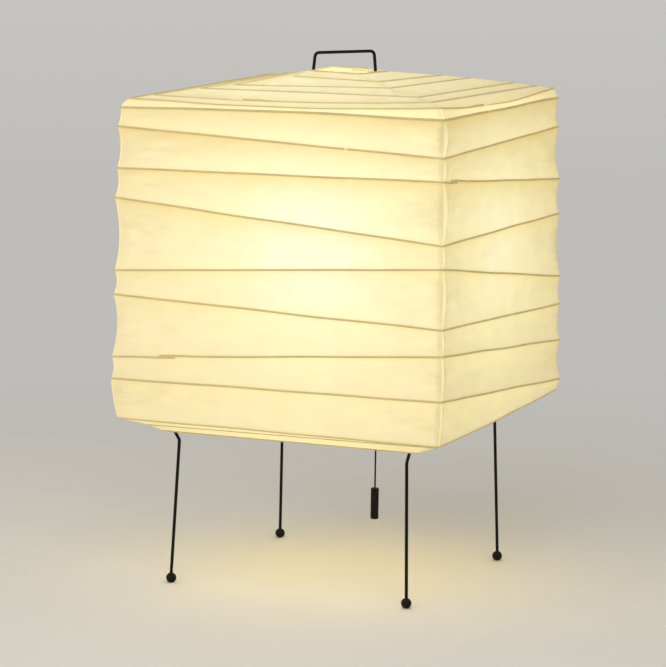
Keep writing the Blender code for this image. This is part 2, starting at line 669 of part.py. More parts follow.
def build_hub():
    """Two plates clamped over the legs' arms by two screws."""
    bore = STEM_RADIUS + CLEARANCE
    levels = {"lower": LOWER_PLATE_BOTTOM, "upper": UPPER_PLATE_TOP - PLATE_THICKNESS}
    for plate_name, bottom in levels.items():
        profile = ring_profile(bore, HUB_RADIUS, bottom, bottom + PLATE_THICKNESS)
        plate = turned_part("hub_plate_" + plate_name, profile, black_wire, closed=True,
                            segments=WIDE_SEGMENTS)
        for side in (-1, 1):
            low = (side * SCREW_REACH, 0.0, bottom - PLATE_THICKNESS)
            high = (side * SCREW_REACH, 0.0, bottom + 2 * PLATE_THICKNESS)
            hole = rod_mesh("screw_hole", low, high, SCREW_RADIUS + CLEARANCE, SMALL_SEGMENTS)
            apply_boolean(plate, add_cutter("screw_hole_" + plate_name, hole))
    head_top = LOWER_PLATE_BOTTOM - CLEARANCE
    head_bottom = head_top - SCREW_HEAD_THICKNESS
    tip = UPPER_PLATE_TOP + PLATE_THICKNESS
    screw_profile = [(0.0, tip), (SCREW_RADIUS, tip), (SCREW_RADIUS, head_top), (SCREW_HEAD_RADIUS, head_top),
                     (SCREW_HEAD_RADIUS, head_bottom), (0.0, head_bottom)]
    for number, side in ((1, -1), (2, 1)):
        place = (side * SCREW_REACH, 0.0, 0.0)
        turned_part("hub_screw_%d" % number, screw_profile, steel, place, segments=TINY_SEGMENTS)


def build_stem():
    """The hollow stem, its two nuts, and the bush where the mains lead goes in."""
    bore = STEM_RADIUS - STEM_WALL
    foot = UPPER_PLATE_TOP + CLEARANCE
    shelf = HOLDER_BOTTOM - CLEARANCE
    top = HOLDER_BOTTOM + HOLDER_FLOOR + 2 * CLEARANCE + NUT_THICKNESS
    shelf_bottom = shelf - STEM_FLANGE_THICKNESS
    foot_top = foot + STEM_FLANGE_THICKNESS
    profile = [(STEM_RADIUS, top), (STEM_RADIUS, shelf), (STEM_FLANGE_RADIUS, shelf),
               (STEM_FLANGE_RADIUS, shelf_bottom), (STEM_RADIUS, shelf_bottom), (STEM_RADIUS, foot_top),
               (STEM_FLANGE_RADIUS, foot_top), (STEM_FLANGE_RADIUS, foot), (STEM_RADIUS, foot),
               (STEM_RADIUS, STEM_BOTTOM), (bore, STEM_BOTTOM), (bore, top)]
    turned_part("stem", profile, steel, closed=True)
    nut_bottoms = {"lower": LOWER_NUT_TOP - NUT_THICKNESS, "upper": HOLDER_BOTTOM + HOLDER_FLOOR + CLEARANCE}
    for nut_name, bottom in nut_bottoms.items():
        build_nut("stem_nut_" + nut_name, bottom)
    build_bush(bore - CLEARANCE)


def build_bush(radius):
    """The plastic bush pushed into the lower end of the stem."""
    top = STEM_BOTTOM + BUSH_DEPTH
    flange_top = STEM_BOTTOM - CLEARANCE
    bottom = flange_top - BUSH_FLANGE_THICKNESS
    inner = radius - BUSH_WALL
    profile = [(radius, top), (radius, flange_top), (BUSH_FLANGE_RADIUS, flange_top),
               (BUSH_FLANGE_RADIUS, bottom), (inner, bottom), (inner, top)]
    turned_part("inlet_bush", profile, black_plastic, closed=True, segments=SMALL_SEGMENTS)


def build_nut(name, bottom):
    """A thin hexagon nut on the stem."""
    nut = add_part(name, rod_mesh(name, (0, 0, bottom), (0, 0, bottom + NUT_THICKNESS), NUT_RADIUS, 6), brass)
    low = (0, 0, bottom - NUT_THICKNESS)
    high = (0, 0, bottom + 2 * NUT_THICKNESS)
    apply_boolean(nut, add_cutter(name + "_bore", rod_mesh("nut_bore", low, high, STEM_RADIUS + CLEARANCE)))


def build_holder_base():
    """The lampholder's cup with the switch chamber on its side."""
    floor = HOLDER_BOTTOM + HOLDER_FLOOR
    over = HOLDER_TOP + HOLDER_WALL
    cup = rod_mesh("cup", (0, 0, HOLDER_BOTTOM), (0, 0, HOLDER_TOP), HOLDER_RADIUS, WIDE_SEGMENTS)
    base = add_part("holder_base", cup, bakelite)
    chamber = box_mesh("chamber", (0, -CHAMBER_HALF_WIDTH, HOLDER_BOTTOM),
                       (CHAMBER_LENGTH, CHAMBER_HALF_WIDTH, CHAMBER_TOP))
    apply_boolean(base, add_cutter("chamber", chamber), "UNION")
    inner_half = CHAMBER_HALF_WIDTH - CHAMBER_WALL
    hollows = {
        "cup_hollow": rod_mesh("cup_hollow", (0, 0, floor), (0, 0, over), CUP_INNER, WIDE_SEGMENTS),
        "insulator_recess": rod_mesh("insulator_recess", (0, 0, LEDGE_HEIGHT), (0, 0, over),
                                     HOLDER_INNER, WIDE_SEGMENTS),
        "chamber_hollow": box_mesh("chamber_hollow", (0, -inner_half, floor),
                                   (CHAMBER_LENGTH - CHAMBER_WALL, inner_half, CHAMBER_TOP + CLEARANCE)),
        "stem_hole": rod_mesh("stem_hole", (0, 0, HOLDER_BOTTOM - HOLDER_FLOOR), (0, 0, floor + HOLDER_FLOOR),
                              STEM_RADIUS + CLEARANCE),
        "guide_hole": rod_mesh("guide_hole", (PULL_REACH, 0, HOLDER_BOTTOM - HOLDER_FLOOR),
                               (PULL_REACH, 0, floor + HOLDER_FLOOR), GUIDE_RADIUS + CLEARANCE,
                               SMALL_SEGMENTS),
        "pin_hole": rod_mesh("pin_hole", (LEVER_PIVOT, -CHAMBER_HALF_WIDTH, LEVER_HEIGHT),
                             (LEVER_PIVOT, HOLDER_RADIUS, LEVER_HEIGHT), PIN_RADIUS + CLEARANCE,
                             TINY_SEGMENTS),
    }
    for name, mesh in hollows.items():
        apply_boolean(base, add_cutter(name, mesh))


def build_holder_inside():
    """Cover, terminal block, insulator, contacts, screw shell and sleeve of the lampholder."""
    cover_bottom = CHAMBER_TOP + CLEARANCE
    cover = box_mesh("switch_cover", (HOLDER_RADIUS + CLEARANCE, -CHAMBER_HALF_WIDTH, cover_bottom),
                     (CHAMBER_LENGTH, CHAMBER_HALF_WIDTH, cover_bottom + COVER_THICKNESS))
    add_part("switch_cover", cover, bakelite)
    half_block = TERMINAL_LENGTH / 2
    block_far = math.sqrt((CUP_INNER - 2 * CLEARANCE) ** 2 - half_block ** 2)
    block_bottom = HOLDER_BOTTOM + HOLDER_FLOOR + CLEARANCE
    block = box_mesh("terminal_block", (-block_far, -half_block, block_bottom),
                     (-NUT_RADIUS - 2 * CLEARANCE, half_block, block_bottom + TERMINAL_HEIGHT))
    add_part("terminal_block", block, brass)
    disc = [(0.0, INSULATOR_TOP), (HOLDER_INNER - CLEARANCE, INSULATOR_TOP),
            (HOLDER_INNER - CLEARANCE, INSULATOR_BOTTOM), (0.0, INSULATOR_BOTTOM)]
    turned_part("holder_insulator", disc, ceramic, segments=WIDE_SEGMENTS)
    seat = INSULATOR_TOP + CLEARANCE
    contact = [(0.0, seat + CONTACT_HEIGHT), (CONTACT_RADIUS / 2, seat + CONTACT_HEIGHT),
               (CONTACT_RADIUS, seat + CONTACT_HEIGHT / 2), (CONTACT_RADIUS, seat), (0.0, seat)]
    turned_part("centre_contact", contact, brass, segments=SMALL_SEGMENTS)
    shell = ring_profile(SHELL_RADIUS - SHELL_WALL, SHELL_RADIUS, seat, seat + SHELL_HEIGHT)
    turned_part("screw_shell", shell, brass, closed=True)
    bore = SHELL_RADIUS + SHELL_TO_SLEEVE
    tube = HOLDER_RADIUS - SLEEVE_STEP
    sleeve_top = SLEEVE_BOTTOM + SLEEVE_HEIGHT
    flange_top = SLEEVE_BOTTOM + SLEEVE_FLANGE
    sleeve = [(tube, sleeve_top), (tube, flange_top), (HOLDER_RADIUS, flange_top),
              (HOLDER_RADIUS, SLEEVE_BOTTOM), (bore, SLEEVE_BOTTOM), (bore, sleeve_top)]
    turned_part("holder_sleeve", sleeve, bakelite, closed=True, segments=WIDE_SEGMENTS)


def build_switch():
    """Lever on its pin, return spring and the guide that the pull runs through."""
    boss_start = (LEVER_PIVOT, -LEVER_HALF_WIDTH, LEVER_HEIGHT)
    boss_end = (LEVER_PIVOT, LEVER_HALF_WIDTH, LEVER_HEIGHT)
    pivot = Vector((LEVER_PIVOT, 0, LEVER_HEIGHT))
    boss = rod_mesh("boss", boss_start, boss_end, LEVER_BOSS_RADIUS, SMALL_SEGMENTS)
    lever = add_part("switch_lever", boss, steel)
    lever.data.transform(Matrix.Translation(-pivot))
    lever.location = pivot
    half_thickness = LEVER_THICKNESS / 2
    tip = PULL_REACH + LEVER_TIP
    bar = box_mesh("lever_bar", (LEVER_PIVOT, -LEVER_HALF_WIDTH, LEVER_HEIGHT - half_thickness),
                   (tip, LEVER_HALF_WIDTH, LEVER_HEIGHT + half_thickness))
    apply_boolean(lever, add_cutter("lever_bar", bar), "UNION")
    slot = box_mesh("lever_slot", (PULL_REACH - SLOT_DEPTH, -SLOT_HALF_WIDTH, LEVER_HEIGHT - LEVER_THICKNESS),
                    (tip + CLEARANCE, SLOT_HALF_WIDTH, LEVER_HEIGHT + LEVER_THICKNESS))
    apply_boolean(lever, add_cutter("lever_slot", slot))
    half_pin = Vector((0, CHAMBER_HALF_WIDTH - CLEARANCE, 0))
    bore = rod_mesh("lever_bore", pivot - half_pin, pivot + half_pin, PIN_RADIUS + CLEARANCE, TINY_SEGMENTS)
    apply_boolean(lever, add_cutter("lever_bore", bore))
    pin = rod_mesh("lever_pin", pivot - half_pin, pivot + half_pin, PIN_RADIUS, TINY_SEGMENTS)
    add_part("lever_pin", pin, steel)
    build_spring(HOLDER_BOTTOM + HOLDER_FLOOR, LEVER_HEIGHT - half_thickness)
    build_guide()


def build_guide():
    """The flanged bush in the chamber's floor."""
    seat = HOLDER_BOTTOM + HOLDER_FLOOR + CLEARANCE
    top = seat + GUIDE_FLANGE_THICKNESS
    bottom = HOLDER_BOTTOM - GUIDE_TAIL
    bore = LINK_NECK_RADIUS + GUIDE_PLAY
    guide = [(GUIDE_FLANGE_RADIUS, top), (GUIDE_FLANGE_RADIUS, seat), (GUIDE_RADIUS, seat),
             (GUIDE_RADIUS, bottom), (bore, bottom), (bore, top)]
    turned_part("pull_guide", guide, brass, (PULL_REACH, 0, 0), closed=True, segments=SMALL_SEGMENTS)


def build_spring(floor, ceiling):
    """The coil spring that lifts the lever back."""
    count = SPRING_TURNS * SPRING_POINTS_PER_TURN
    bottom = floor + CLEARANCE + SPRING_WIRE / 2
    top = ceiling - CLEARANCE - SPRING_WIRE / 2
    points = []
    for i in range(count + 1):
        angle = math.tau * i / SPRING_POINTS_PER_TURN
        height = bottom + (top - bottom) * i / count
        around = SPRING_RADIUS * Vector((math.cos(angle), math.sin(angle)))
        points.append((SPRING_PLACE + around.x, around.y, height))
    wire_part("return_spring", points, SPRING_WIRE, steel, resolution=0)


def build_pull():
    """The link from the lever, the cord and the weight that the hand takes."""
    neck_angle = -math.degrees(math.acos(LINK_NECK_RADIUS / LINK_BALL_RADIUS))
    ball = arc_points((0.0, BALL_HEIGHT), LINK_BALL_RADIUS, 90, neck_angle)
    end_top = LINK_BOTTOM + LINK_END_LENGTH
    link = ball + [(LINK_NECK_RADIUS, end_top), (LINK_END_RADIUS, end_top), (LINK_END_RADIUS, LINK_BOTTOM),
                   (0.0, LINK_BOTTOM)]
    link[0] = (0.0, BALL_HEIGHT + LINK_BALL_RADIUS)
    turned_part("pull_link", link, brass, (PULL_REACH, 0, 0), segments=TINY_SEGMENTS)
    steps = math.ceil(PULL_CORD_LENGTH / (PULL_CORD_DIAMETER * CORD_STEP_DIAMETERS))
    points = [(PULL_REACH, 0, CORD_TOP - PULL_CORD_LENGTH * i / steps) for i in range(steps + 1)]
    wire_part("pull_cord", points, PULL_CORD_DIAMETER, black_cord)
    radius = PULL_WEIGHT_RADIUS
    chamfer = PULL_WEIGHT_CHAMFER
    weight = [(0.0, 0.0), (radius - chamfer, 0.0), (radius, -chamfer), (radius, chamfer - PULL_WEIGHT_LENGTH),
              (radius - chamfer, -PULL_WEIGHT_LENGTH), (0.0, -PULL_WEIGHT_LENGTH)]
    turned_part("pull_weight", weight, black_ball, (PULL_REACH, 0, WEIGHT_TOP))


def bulb_outline(offset):
    """Points up the bulb's glass from the neck to the crown, moved in by an offset."""
    radius = BULB_RADIUS - offset
    neck = BULB_NECK_RADIUS - offset
    centre = BULB_BOTTOM + BULB_LENGTH - BULB_RADIUS
    crown = arc_points((0.0, centre), radius, BULB_NECK_ANGLE, 90)
    start = Vector((neck, CAP_TOP))
    end = Vector(crown[0])
    reach = (end - start).length
    start_slope = Vector((0.0, reach))
    neck_angle = math.radians(BULB_NECK_ANGLE)
    end_slope = Vector((-math.sin(neck_angle), math.cos(neck_angle))) * reach
    outline = [(neck, CAP_TOP - BULB_NECK_DEPTH)]
    for i in range(NECK_STEPS):
        t = i / NECK_STEPS
        blend = (start * (2 * t ** 3 - 3 * t ** 2 + 1) + start_slope * (t ** 3 - 2 * t ** 2 + t)
                 + end * (3 * t ** 2 - 2 * t ** 3) + end_slope * (t ** 3 - t ** 2))
        outline.append(tuple(blend))
    crown[-1] = (0.0, centre + radius)
    return outline + crown


def build_bulb():
    """Screw cap, tip contact, glass and emitter."""
    inner = CAP_RADIUS - BULB_CAP_WALL
    taper_top = CAP_BOTTOM + BULB_CAP_TAPER
    floor = CAP_BOTTOM + BULB_CAP_FLOOR
    cap = [(0.0, floor), (inner, floor), (inner, CAP_TOP), (CAP_RADIUS, CAP_TOP), (CAP_RADIUS, taper_top),
           (BULB_CAP_FOOT_RADIUS, CAP_BOTTOM), (0.0, CAP_BOTTOM)]
    turned_part("bulb_cap", cap, brass)
    contact_top = BULB_BOTTOM + BULB_CONTACT_HEIGHT
    contact = [(0.0, contact_top), (BULB_CONTACT_RADIUS, contact_top), (BULB_CONTACT_RADIUS / 2, BULB_BOTTOM),
               (0.0, BULB_BOTTOM)]
    turned_part("bulb_contact", contact, steel, segments=SMALL_SEGMENTS)
    glass = bulb_outline(0.0)[::-1] + bulb_outline(BULB_WALL)
    turned_part("bulb_glass", glass, opal_glass)
    flare_bottom = CAP_TOP - BULB_NECK_DEPTH
    flare_top = flare_bottom + EMITTER_FLARE_HEIGHT
    flare_radius = BULB_NECK_RADIUS - BULB_WALL - CLEARANCE
    centre = BULB_BOTTOM + BULB_LENGTH - BULB_RADIUS
    join_angle = -math.degrees(math.acos(EMITTER_ROD_RADIUS / EMITTER_TIP_RADIUS))
    tip = arc_points((0.0, centre), EMITTER_TIP_RADIUS, 90, join_angle)
    tip[0] = (0.0, centre + EMITTER_TIP_RADIUS)
    emitter = tip + [(EMITTER_ROD_RADIUS, flare_top + EMITTER_TIP_RADIUS), (flare_radius, flare_top),
                     (flare_radius, flare_bottom), (0.0, flare_bottom)]
    turned_part("bulb_emitter", emitter, opal_glass, segments=SMALL_SEGMENTS)


for leftover in list(bpy.data.objects):
    bpy.data.objects.remove(leftover)

parts = new_collection("paper_table_lamp")
cutters = new_collection("cutters")

paper = new_material("washi_paper", (0.93, 0.87, 0.70), 0.9)
bamboo = new_material("bamboo_rib", (0.50, 0.42, 0.30), 0.7)
black_wire = new_material("black_wire", (0.015, 0.014, 0.013), 0.45)
black_ball = new_material("black_ball", (0.02, 0.017, 0.015), 0.4)
black_cord = new_material("black_cord", (0.03, 0.028, 0.026), 0.9)
black_plastic = new_material("black_plastic", (0.02, 0.02, 0.02), 0.5)
bakelite = new_material("bakelite", (0.035, 0.025, 0.02), 0.35)
ceramic = new_material("white_ceramic", (0.85, 0.83, 0.78), 0.4)
brass = new_material("brass", (0.72, 0.55, 0.28), 0.35, 1.0)
steel = new_material("zinc_steel", (0.55, 0.56, 0.57), 0.4, 1.0)
opal_glass = new_material("opal_glass", (0.95, 0.93, 0.88), 0.25)

build_ribs()
build_sides()
build_roof()
build_underside()
build_legs()
build_stretcher()
build_hub()
build_stem()
build_holder_base()
build_holder_inside()
build_switch()
build_pull()
build_bulb()
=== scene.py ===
"""Looks of the paper table lamp: handmade paper over split bamboo, satin black wire, lit from inside.

Metres, in the frame's own axes: X right along the front face, Y back, Z up, floor at zero.
Corners are counted front left, front right, back right, back left; faces front, right, back, left.
"""

import json
import math

import bmesh
import bpy
import numpy as np
from mathutils import Matrix, Vector, noise


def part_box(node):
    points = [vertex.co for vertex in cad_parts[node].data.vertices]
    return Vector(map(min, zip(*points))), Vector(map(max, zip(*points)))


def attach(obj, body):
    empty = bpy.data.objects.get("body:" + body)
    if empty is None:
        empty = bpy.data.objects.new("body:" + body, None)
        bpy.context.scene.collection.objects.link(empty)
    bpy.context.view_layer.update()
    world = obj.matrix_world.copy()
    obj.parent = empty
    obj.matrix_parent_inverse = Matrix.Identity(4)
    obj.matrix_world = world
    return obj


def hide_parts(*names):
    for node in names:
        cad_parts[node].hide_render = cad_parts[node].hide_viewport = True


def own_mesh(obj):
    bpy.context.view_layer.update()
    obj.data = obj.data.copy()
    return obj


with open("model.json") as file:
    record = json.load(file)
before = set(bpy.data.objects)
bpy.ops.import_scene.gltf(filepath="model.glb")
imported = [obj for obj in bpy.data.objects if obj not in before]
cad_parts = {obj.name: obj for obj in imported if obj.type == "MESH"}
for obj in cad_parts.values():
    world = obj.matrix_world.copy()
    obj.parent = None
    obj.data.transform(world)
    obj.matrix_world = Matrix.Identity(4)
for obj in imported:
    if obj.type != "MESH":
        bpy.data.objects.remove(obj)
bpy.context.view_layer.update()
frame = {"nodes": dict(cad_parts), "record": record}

# Camera, from the photograph's viewing angle
CAMERA_AZIMUTH = 23.44
CAMERA_ELEVATION = 7.07
CAMERA_ROLL = 1.0
CAMERA_DISTANCE = 2.423
CAMERA_ASIDE = -0.0105
CAMERA_AIM_HEIGHT = 0.2307
CAMERA_LENS = 137.15
CAMERA_SENSOR = 36.0

# Ribs: the frame's round section, and the slimmer split bamboo that shows
RIB_RADIUS = 0.0011
SPLIT_RADIUS = 0.00092
RIB_CORNER_RADIUS = 0.003
SPLIT_CORNER_RADIUS = 0.001
RIB_WAVE = 0.0007
WAVES_PER_SIDE = 4.0
WAVE_EASE = 0.1
RIB_POINT_SPACING = 0.008
ARC_STEPS = 6
SPLICE_LAP = 0.016
SPLICE_GAP = -0.003
SPLICE_BLEND = 0.020
RIB_SIDES = 3
SEED_COUNT = 17
FACE_APART = 3.7

# Where each rib's two ends meet: face, share of the way along it, how far they lap, and 1 if the end
# that starts there lies above the other one, -1 if below
SPLICES = {
    "rib_shoulder_upper": (1, 0.29, SPLICE_LAP, -1),
    "rib_shoulder_lower": (1, 0.36, SPLICE_GAP, 1),
    "rib_side_1": (0, 0.72, SPLICE_GAP, 1),
    "rib_side_2": (1, 0.058, SPLICE_LAP, 1),
    "rib_side_6": (0, 0.16, SPLICE_LAP, 1),
    "rib_roof_1": (0, 0.33, SPLICE_LAP, 1),
}
HIDDEN_SPLICE_FACE = 2
HIDDEN_SPLICE_START = 0.2
HIDDEN_SPLICE_RANGE = 0.6
HIDDEN_SPLICE_STEP = 0.37

# How far ribs bow up halfway along a face
BOWS = {
    ("rib_shoulder_upper", 0): -0.0038,
    ("rib_shoulder_upper", 1): -0.0050,
    ("rib_shoulder_lower", 0): 0.0018,
    ("rib_roof_1", 0): -0.0032,
    ("rib_roof_2", 0): 0.0002,
    ("rib_bottom_edge", 1): -0.0018,
}

# How far rib corners lie from the frame's, outwards and upwards
NUDGES = {
    ("rib_shoulder_lower", 2): (-0.0028, 0.0),
    ("rib_side_1", 0): (0.0020, 0.0),
    ("rib_side_1", 2): (-0.0025, 0.0),
    ("rib_side_2", 0): (0.0010, 0.0),
    ("rib_side_2", 2): (-0.0010, 0.0),
    ("rib_side_3", 0): (0.0020, 0.0),
    ("rib_side_3", 2): (-0.0015, 0.0),
    ("rib_bottom_edge", 0): (-0.0030, 0.0),
    ("rib_bottom_edge", 2): (0.0, 0.0010),
    ("rib_roof_1", 0): (0.0, 0.0010),
    ("rib_roof_1", 1): (0.0, 0.0020),
    ("rib_roof_2", 0): (0.0, 0.0015),
    ("rib_roof_2", 1): (0.0, 0.0020),
    ("rib_roof_4", 0): (0.0, -0.0028),
    ("rib_roof_4", 1): (0.0, 0.0010),
    ("rib_collar", 2): (0.0085, 0.0),
    ("rib_underside", 0): (0.0, 0.0020),
    ("rib_underside", 2): (-0.0020, 0.0010),
    ("rib_opening", 2): (0.0, 0.0030),
}

# Ribs split thicker or thinner than the rest, and one that starts thin and thickens along its length
RIB_SCALES = {
    "rib_shoulder_lower": 1.18,
    "rib_bottom_edge": 0.85,
    "rib_underside": 0.75,
    **{f"rib_roof_{i}": 0.82 for i in range(1, 5)},
}
THIN_START = {"rib_shoulder_upper": 0.62}
THIN_LENGTH = 0.25
ROOF_FAR_SCALE = 0.5

# Paper
PAPER_THICKNESS = 0.0004
SIDE_PAPER_LIFT = 0.0005
ROOF_PAPER_LIFT = -0.0001
UNDERSIDE_PAPER_LIFT = 0.0001
SIDE_SAG = 0.0018
FLAT_SAG = 0.0008
FOLD_EASE = 0.008
FULL_BAND = 0.040
FACE_COLUMNS = 84
FOLD_STEPS = (0.0008, 0.0020, 0.0040)
BAND_STEP = 0.0035
NEAR_RIB_STEPS = (0.0009, 0.0018, 0.0030)
# How far the darkening beside ribs reaches: paste, and the ribs' painted shadow
RIB_SHADE_REACH = 0.0013
# How far the painted shade below each rib reaches, and its least share low down
BELOW_RIB_SHADE_REACH = 0.010
BELOW_RIB_SHADE_LEAST = 0.3
WRINKLE_DEPTH = 0.0032
WRINKLE_REACH = 0.040
WRINKLE_EVERYWHERE = 0.22
CREASES_ALONG = 26
CREASES_UP = 95
CREASES_FACE = 5.1
CREASE_SHARE = 1.2
BILLOWS_ALONG = 14
BILLOWS_UP = 40
BILLOWS_FACE = 2.3
BILLOWS_START = 9
BILLOW_SHARE = 0.5
# Width of the painted shade along folds, and width and strength of the seams' darker strip: doubled paper
# and painted shade
FOLD_SHADE_REACH = 0.0010
SEAM_REACH = 0.0013
SEAM_PASTE_AND_SHADE = 0.42
CORNER_EASE = 0.0007
FACET_EDGE = 0.4
FACET_LEAST = 0.0001
WELD_DISTANCE = 0.00005
WRAP_RADIUS = 0.0011
WRAP_STEPS = 5
# How many columns from each corner the lower lip is darkest, and how dark the rest of the lip is
DARK_CORNER_COLUMNS = 9
LIP_DARKENING = 0.7

# How far the folds beside each corner lie along the face that ends there and the face that starts there,
# at the shade's top, halfway down and at its bottom
CORNER_FOLDS = (
    ((0.004, 0.0095, 0.008), (0.005, 0.0045, 0.004)),
    ((0.003, 0.0015, 0.001), (0.012, 0.008, 0.003)),
    ((0.010, 0.0095, 0.009), (0.005, 0.005, 0.005)),
    ((0.006, 0.006, 0.006), (0.006, 0.006, 0.006)),
)
UNDERSIDE_FOLDS = 0.35

# Where the paper stays full at a corner instead of falling in, above which rib, and how far it swells
SWELLS = {
    ("rib_shoulder_lower", 0): 0.0018,
    ("rib_shoulder_lower", 1): 0.0,
    ("rib_shoulder_lower", 2): 0.0,
    ("rib_shoulder_lower", 3): 0.0,
    ("rib_bottom_edge", 0): 0.0012,
}

# Wire stand
WIRE_RADIUS = 0.0015
WIRE_SIDES = 5
HUB_START = 0.008
ARM_LEVEL_REACH = 0.060
FINGER_BEND_RADIUS = 0.003
LEG_SLOPE = 60
CROOK_RADIUS = 0.004
KNEE_RADIUS = 0.006
FOOT_FLAT_RADIUS = 0.0017
FOOT_STEPS = 20
HANDLE_NARROWING = 0.0018
HANDLE_TILT = 0.001
HANDLE_BEND_RADIUS = 0.0042
TOUCH_GAP = 0.0003

# How each leg is bent: its knee inside the ring's corner, and below the ring
KNEES = {
    "front_left": (0.0158, 0.0097),
    "front_right": (0.0218, 0.0129),
    "back_right": (0.0187, 0.0045),
    "back_left": (0.0154, 0.0095),
}

# Pull cord, on the route that the frame's cord node follows
CORD_EXIT = (0.035, 0.0, 0.1936)
CORD_LENGTH = 0.109
CORD_DIAMETER = 0.0016
CORD_STEPS = 24
CORD_SIDES = 4
WEIGHT_EDGE = 0.22
WEIGHT_BORE_FLARE = 1.4

# Return spring under the switch lever
SPRING_WIRE = 0.0007
SPRING_TURNS = 5
SPRING_STEPS = 24
SPRING_SIDES = 2

# Round sections of turned pieces
TURNED_SEGMENTS = 40

DIAGONAL = math.sqrt(2)
CORNER_SIGNS = ((-1, -1), (1, -1), (1, 1), (-1, 1))
CORNER_NAMES = ("front_left", "front_right", "back_right", "back_left")
CORNER_OUT = [Vector((x, y, 0)) / DIAGONAL for x, y in CORNER_SIGNS]
FACE_NAMES = ("front", "right", "back", "left")
FACE_OUT = (Vector((0, -1, 0)), Vector((1, 0, 0)), Vector((0, 1, 0)), Vector((-1, 0, 0)))
UP = Vector((0, 0, 1))
SIDE_RIB_NAMES = ["rib_shoulder_upper", "rib_shoulder_lower"]
SIDE_RIB_NAMES += [f"rib_side_{i}" for i in range(1, 8)] + ["rib_bottom_edge"]
ROOF_RIB_NAMES = ["rib_shoulder_upper"] + [f"rib_roof_{i}" for i in range(1, 5)] + ["rib_collar"]
UNDERSIDE_RIB_NAMES = ["rib_bottom_edge", "rib_underside", "rib_opening"]
# Marks on the paper: darker beside ribs, painted shade below ribs, painted fold shade with the seams, and
# slack paper
MARK_NAMES = ("rib_near", "shade_below_rib", "crease", "slack")

# Places read from the frame
bulb_low, bulb_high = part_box("bulb_glass")
BULB_RADIUS = (bulb_high.x - bulb_low.x) / 2
BULB_CENTRE = Vector((0, 0, bulb_high.z - BULB_RADIUS))


# Camera

def make_camera():
    """The camera at the photograph's place."""
    azimuth = math.radians(CAMERA_AZIMUTH)
    elevation = math.radians(CAMERA_ELEVATION)
    roll = math.radians(CAMERA_ROLL)
    back = Vector((math.sin(azimuth) * math.cos(elevation), -math.cos(azimuth) * math.cos(elevation),
                   math.sin(elevation)))
    level = Vector((math.cos(azimuth), math.sin(azimuth), 0))
    upright = back.cross(level)
    right = level * math.cos(roll) + upright * math.sin(roll)
    up = upright * math.cos(roll) - level * math.sin(roll)
    data = bpy.data.cameras.new("camera")
    data.sensor_width = CAMERA_SENSOR
    data.lens = CAMERA_LENS
    camera = bpy.data.objects.new("camera", data)
    bpy.context.scene.collection.objects.link(camera)
    eye = right * CAMERA_ASIDE + UP * CAMERA_AIM_HEIGHT + back * CAMERA_DISTANCE
    turn = Matrix((right, up, back)).transposed().to_4x4()
    camera.matrix_world = Matrix.Translation(eye) @ turn
    bpy.context.scene.camera = camera


make_camera()


# Tools for materials

class Nodes:
    """Adds nodes to one node tree and links them as they come."""

    def __init__(self, tree):
        self.tree = tree

    def add(self, kind, inputs=None, **settings):
        """A new node with its settings, and with values or links on its inputs."""
        node = self.tree.nodes.new("ShaderNode" + kind)
        for name, value in settings.items():
            setattr(node, name, value)
        for key, value in (inputs or {}).items():
            self.put(node.inputs[key], value)
        return node

    def put(self, socket, value):
        """A link from another socket, or a plain value."""
        if isinstance(value, bpy.types.NodeSocket):
            self.tree.links.new(value, socket)
        else:
            socket.default_value = value

    def math(self, operation, first, second=0.0):
        """One step of arithmetic."""
        return self.add("Math", {0: first, 1: second}, operation=operation).outputs[0]

    def noise(self, place, scale, detail=3.0, distortion=0.0):
        """A noise from 0 to 1."""
        inputs = {"Vector": place, "Scale": scale, "Detail": detail, "Distortion": distortion}
        return self.add("TexNoise", inputs).outputs["Fac"]

    def span(self, value, low, high):
        """A 0 to 1 value spread over a span."""
        return self.add("MapRange", {"Value": value, "To Min": low, "To Max": high}).outputs["Result"]

    def blend(self, share, first, second, mode="MIX"):
        """Two colours mixed."""
        node = self.add("Mix", data_type="RGBA", blend_type=mode)
        for index, value in ((0, share), (6, first), (7, second)):
            self.put(node.inputs[index], value)
        return node.outputs[2]

    def ramp(self, value, stops):
        """A colour ramp through (place, colour) stops."""
        node = self.add("ValToRGB", {"Fac": value})
        elements = node.color_ramp.elements
        while len(elements) < len(stops):
            elements.new(0.5)
        for element, (place, colour) in zip(elements, stops):
            element.position = place
            element.color = (*colour, 1.0)
        return node.outputs["Color"]

    def bump(self, height, strength, distance):
        """A bumped normal."""
        inputs = {"Height": height, "Strength": strength, "Distance": distance}
        return self.add("Bump", inputs).outputs["Normal"]


def start_material(name, constants=None):
    """A material, its node helper and its shader, with constants on the shader's own sockets."""
    material = bpy.data.materials.new(name)
    material.use_nodes = True
    shader = material.node_tree.nodes["Principled BSDF"]
    for key, value in (constants or {}).items():
        shader.inputs[key].default_value = value
    return material, Nodes(material.node_tree), shader


# Materials

FINE_SCALE = 9
FINE_RELIEF = 0.0002
METAL = {"Metallic": 1.0}
DULL = {"Specular IOR Level": 0.15}

# Mottled finishes: darkest and lightest colour, roughness, scale of the mottling, bump, other constants
MOTTLED = {
    "black_wire": ((0.003, 0.002, 0.001), (0.008, 0.006, 0.003), (0.4, 0.6), 90, 0.15, DULL),
    "black_ball": ((0.004, 0.003, 0.002), (0.012, 0.009, 0.006), (0.4, 0.6), 350, 0.5, DULL),
    "black_plastic": ((0.015, 0.015, 0.015), (0.026, 0.025, 0.024), (0.5, 0.65), 200, 0.3, {}),
    "bakelite": ((0.024, 0.016, 0.011), (0.05, 0.034, 0.024), (0.22, 0.38), 110, 0.12, {}),
    "white_ceramic": ((0.76, 0.73, 0.66), (0.84, 0.82, 0.76), (0.55, 0.75), 240, 0.3, {}),
    "brass": ((0.60, 0.42, 0.17), (0.74, 0.56, 0.28), (0.22, 0.42), 160, 0.15, METAL),
    "zinc_steel": ((0.46, 0.47, 0.48), (0.60, 0.61, 0.62), (0.25, 0.42), 180, 0.15, METAL),
}

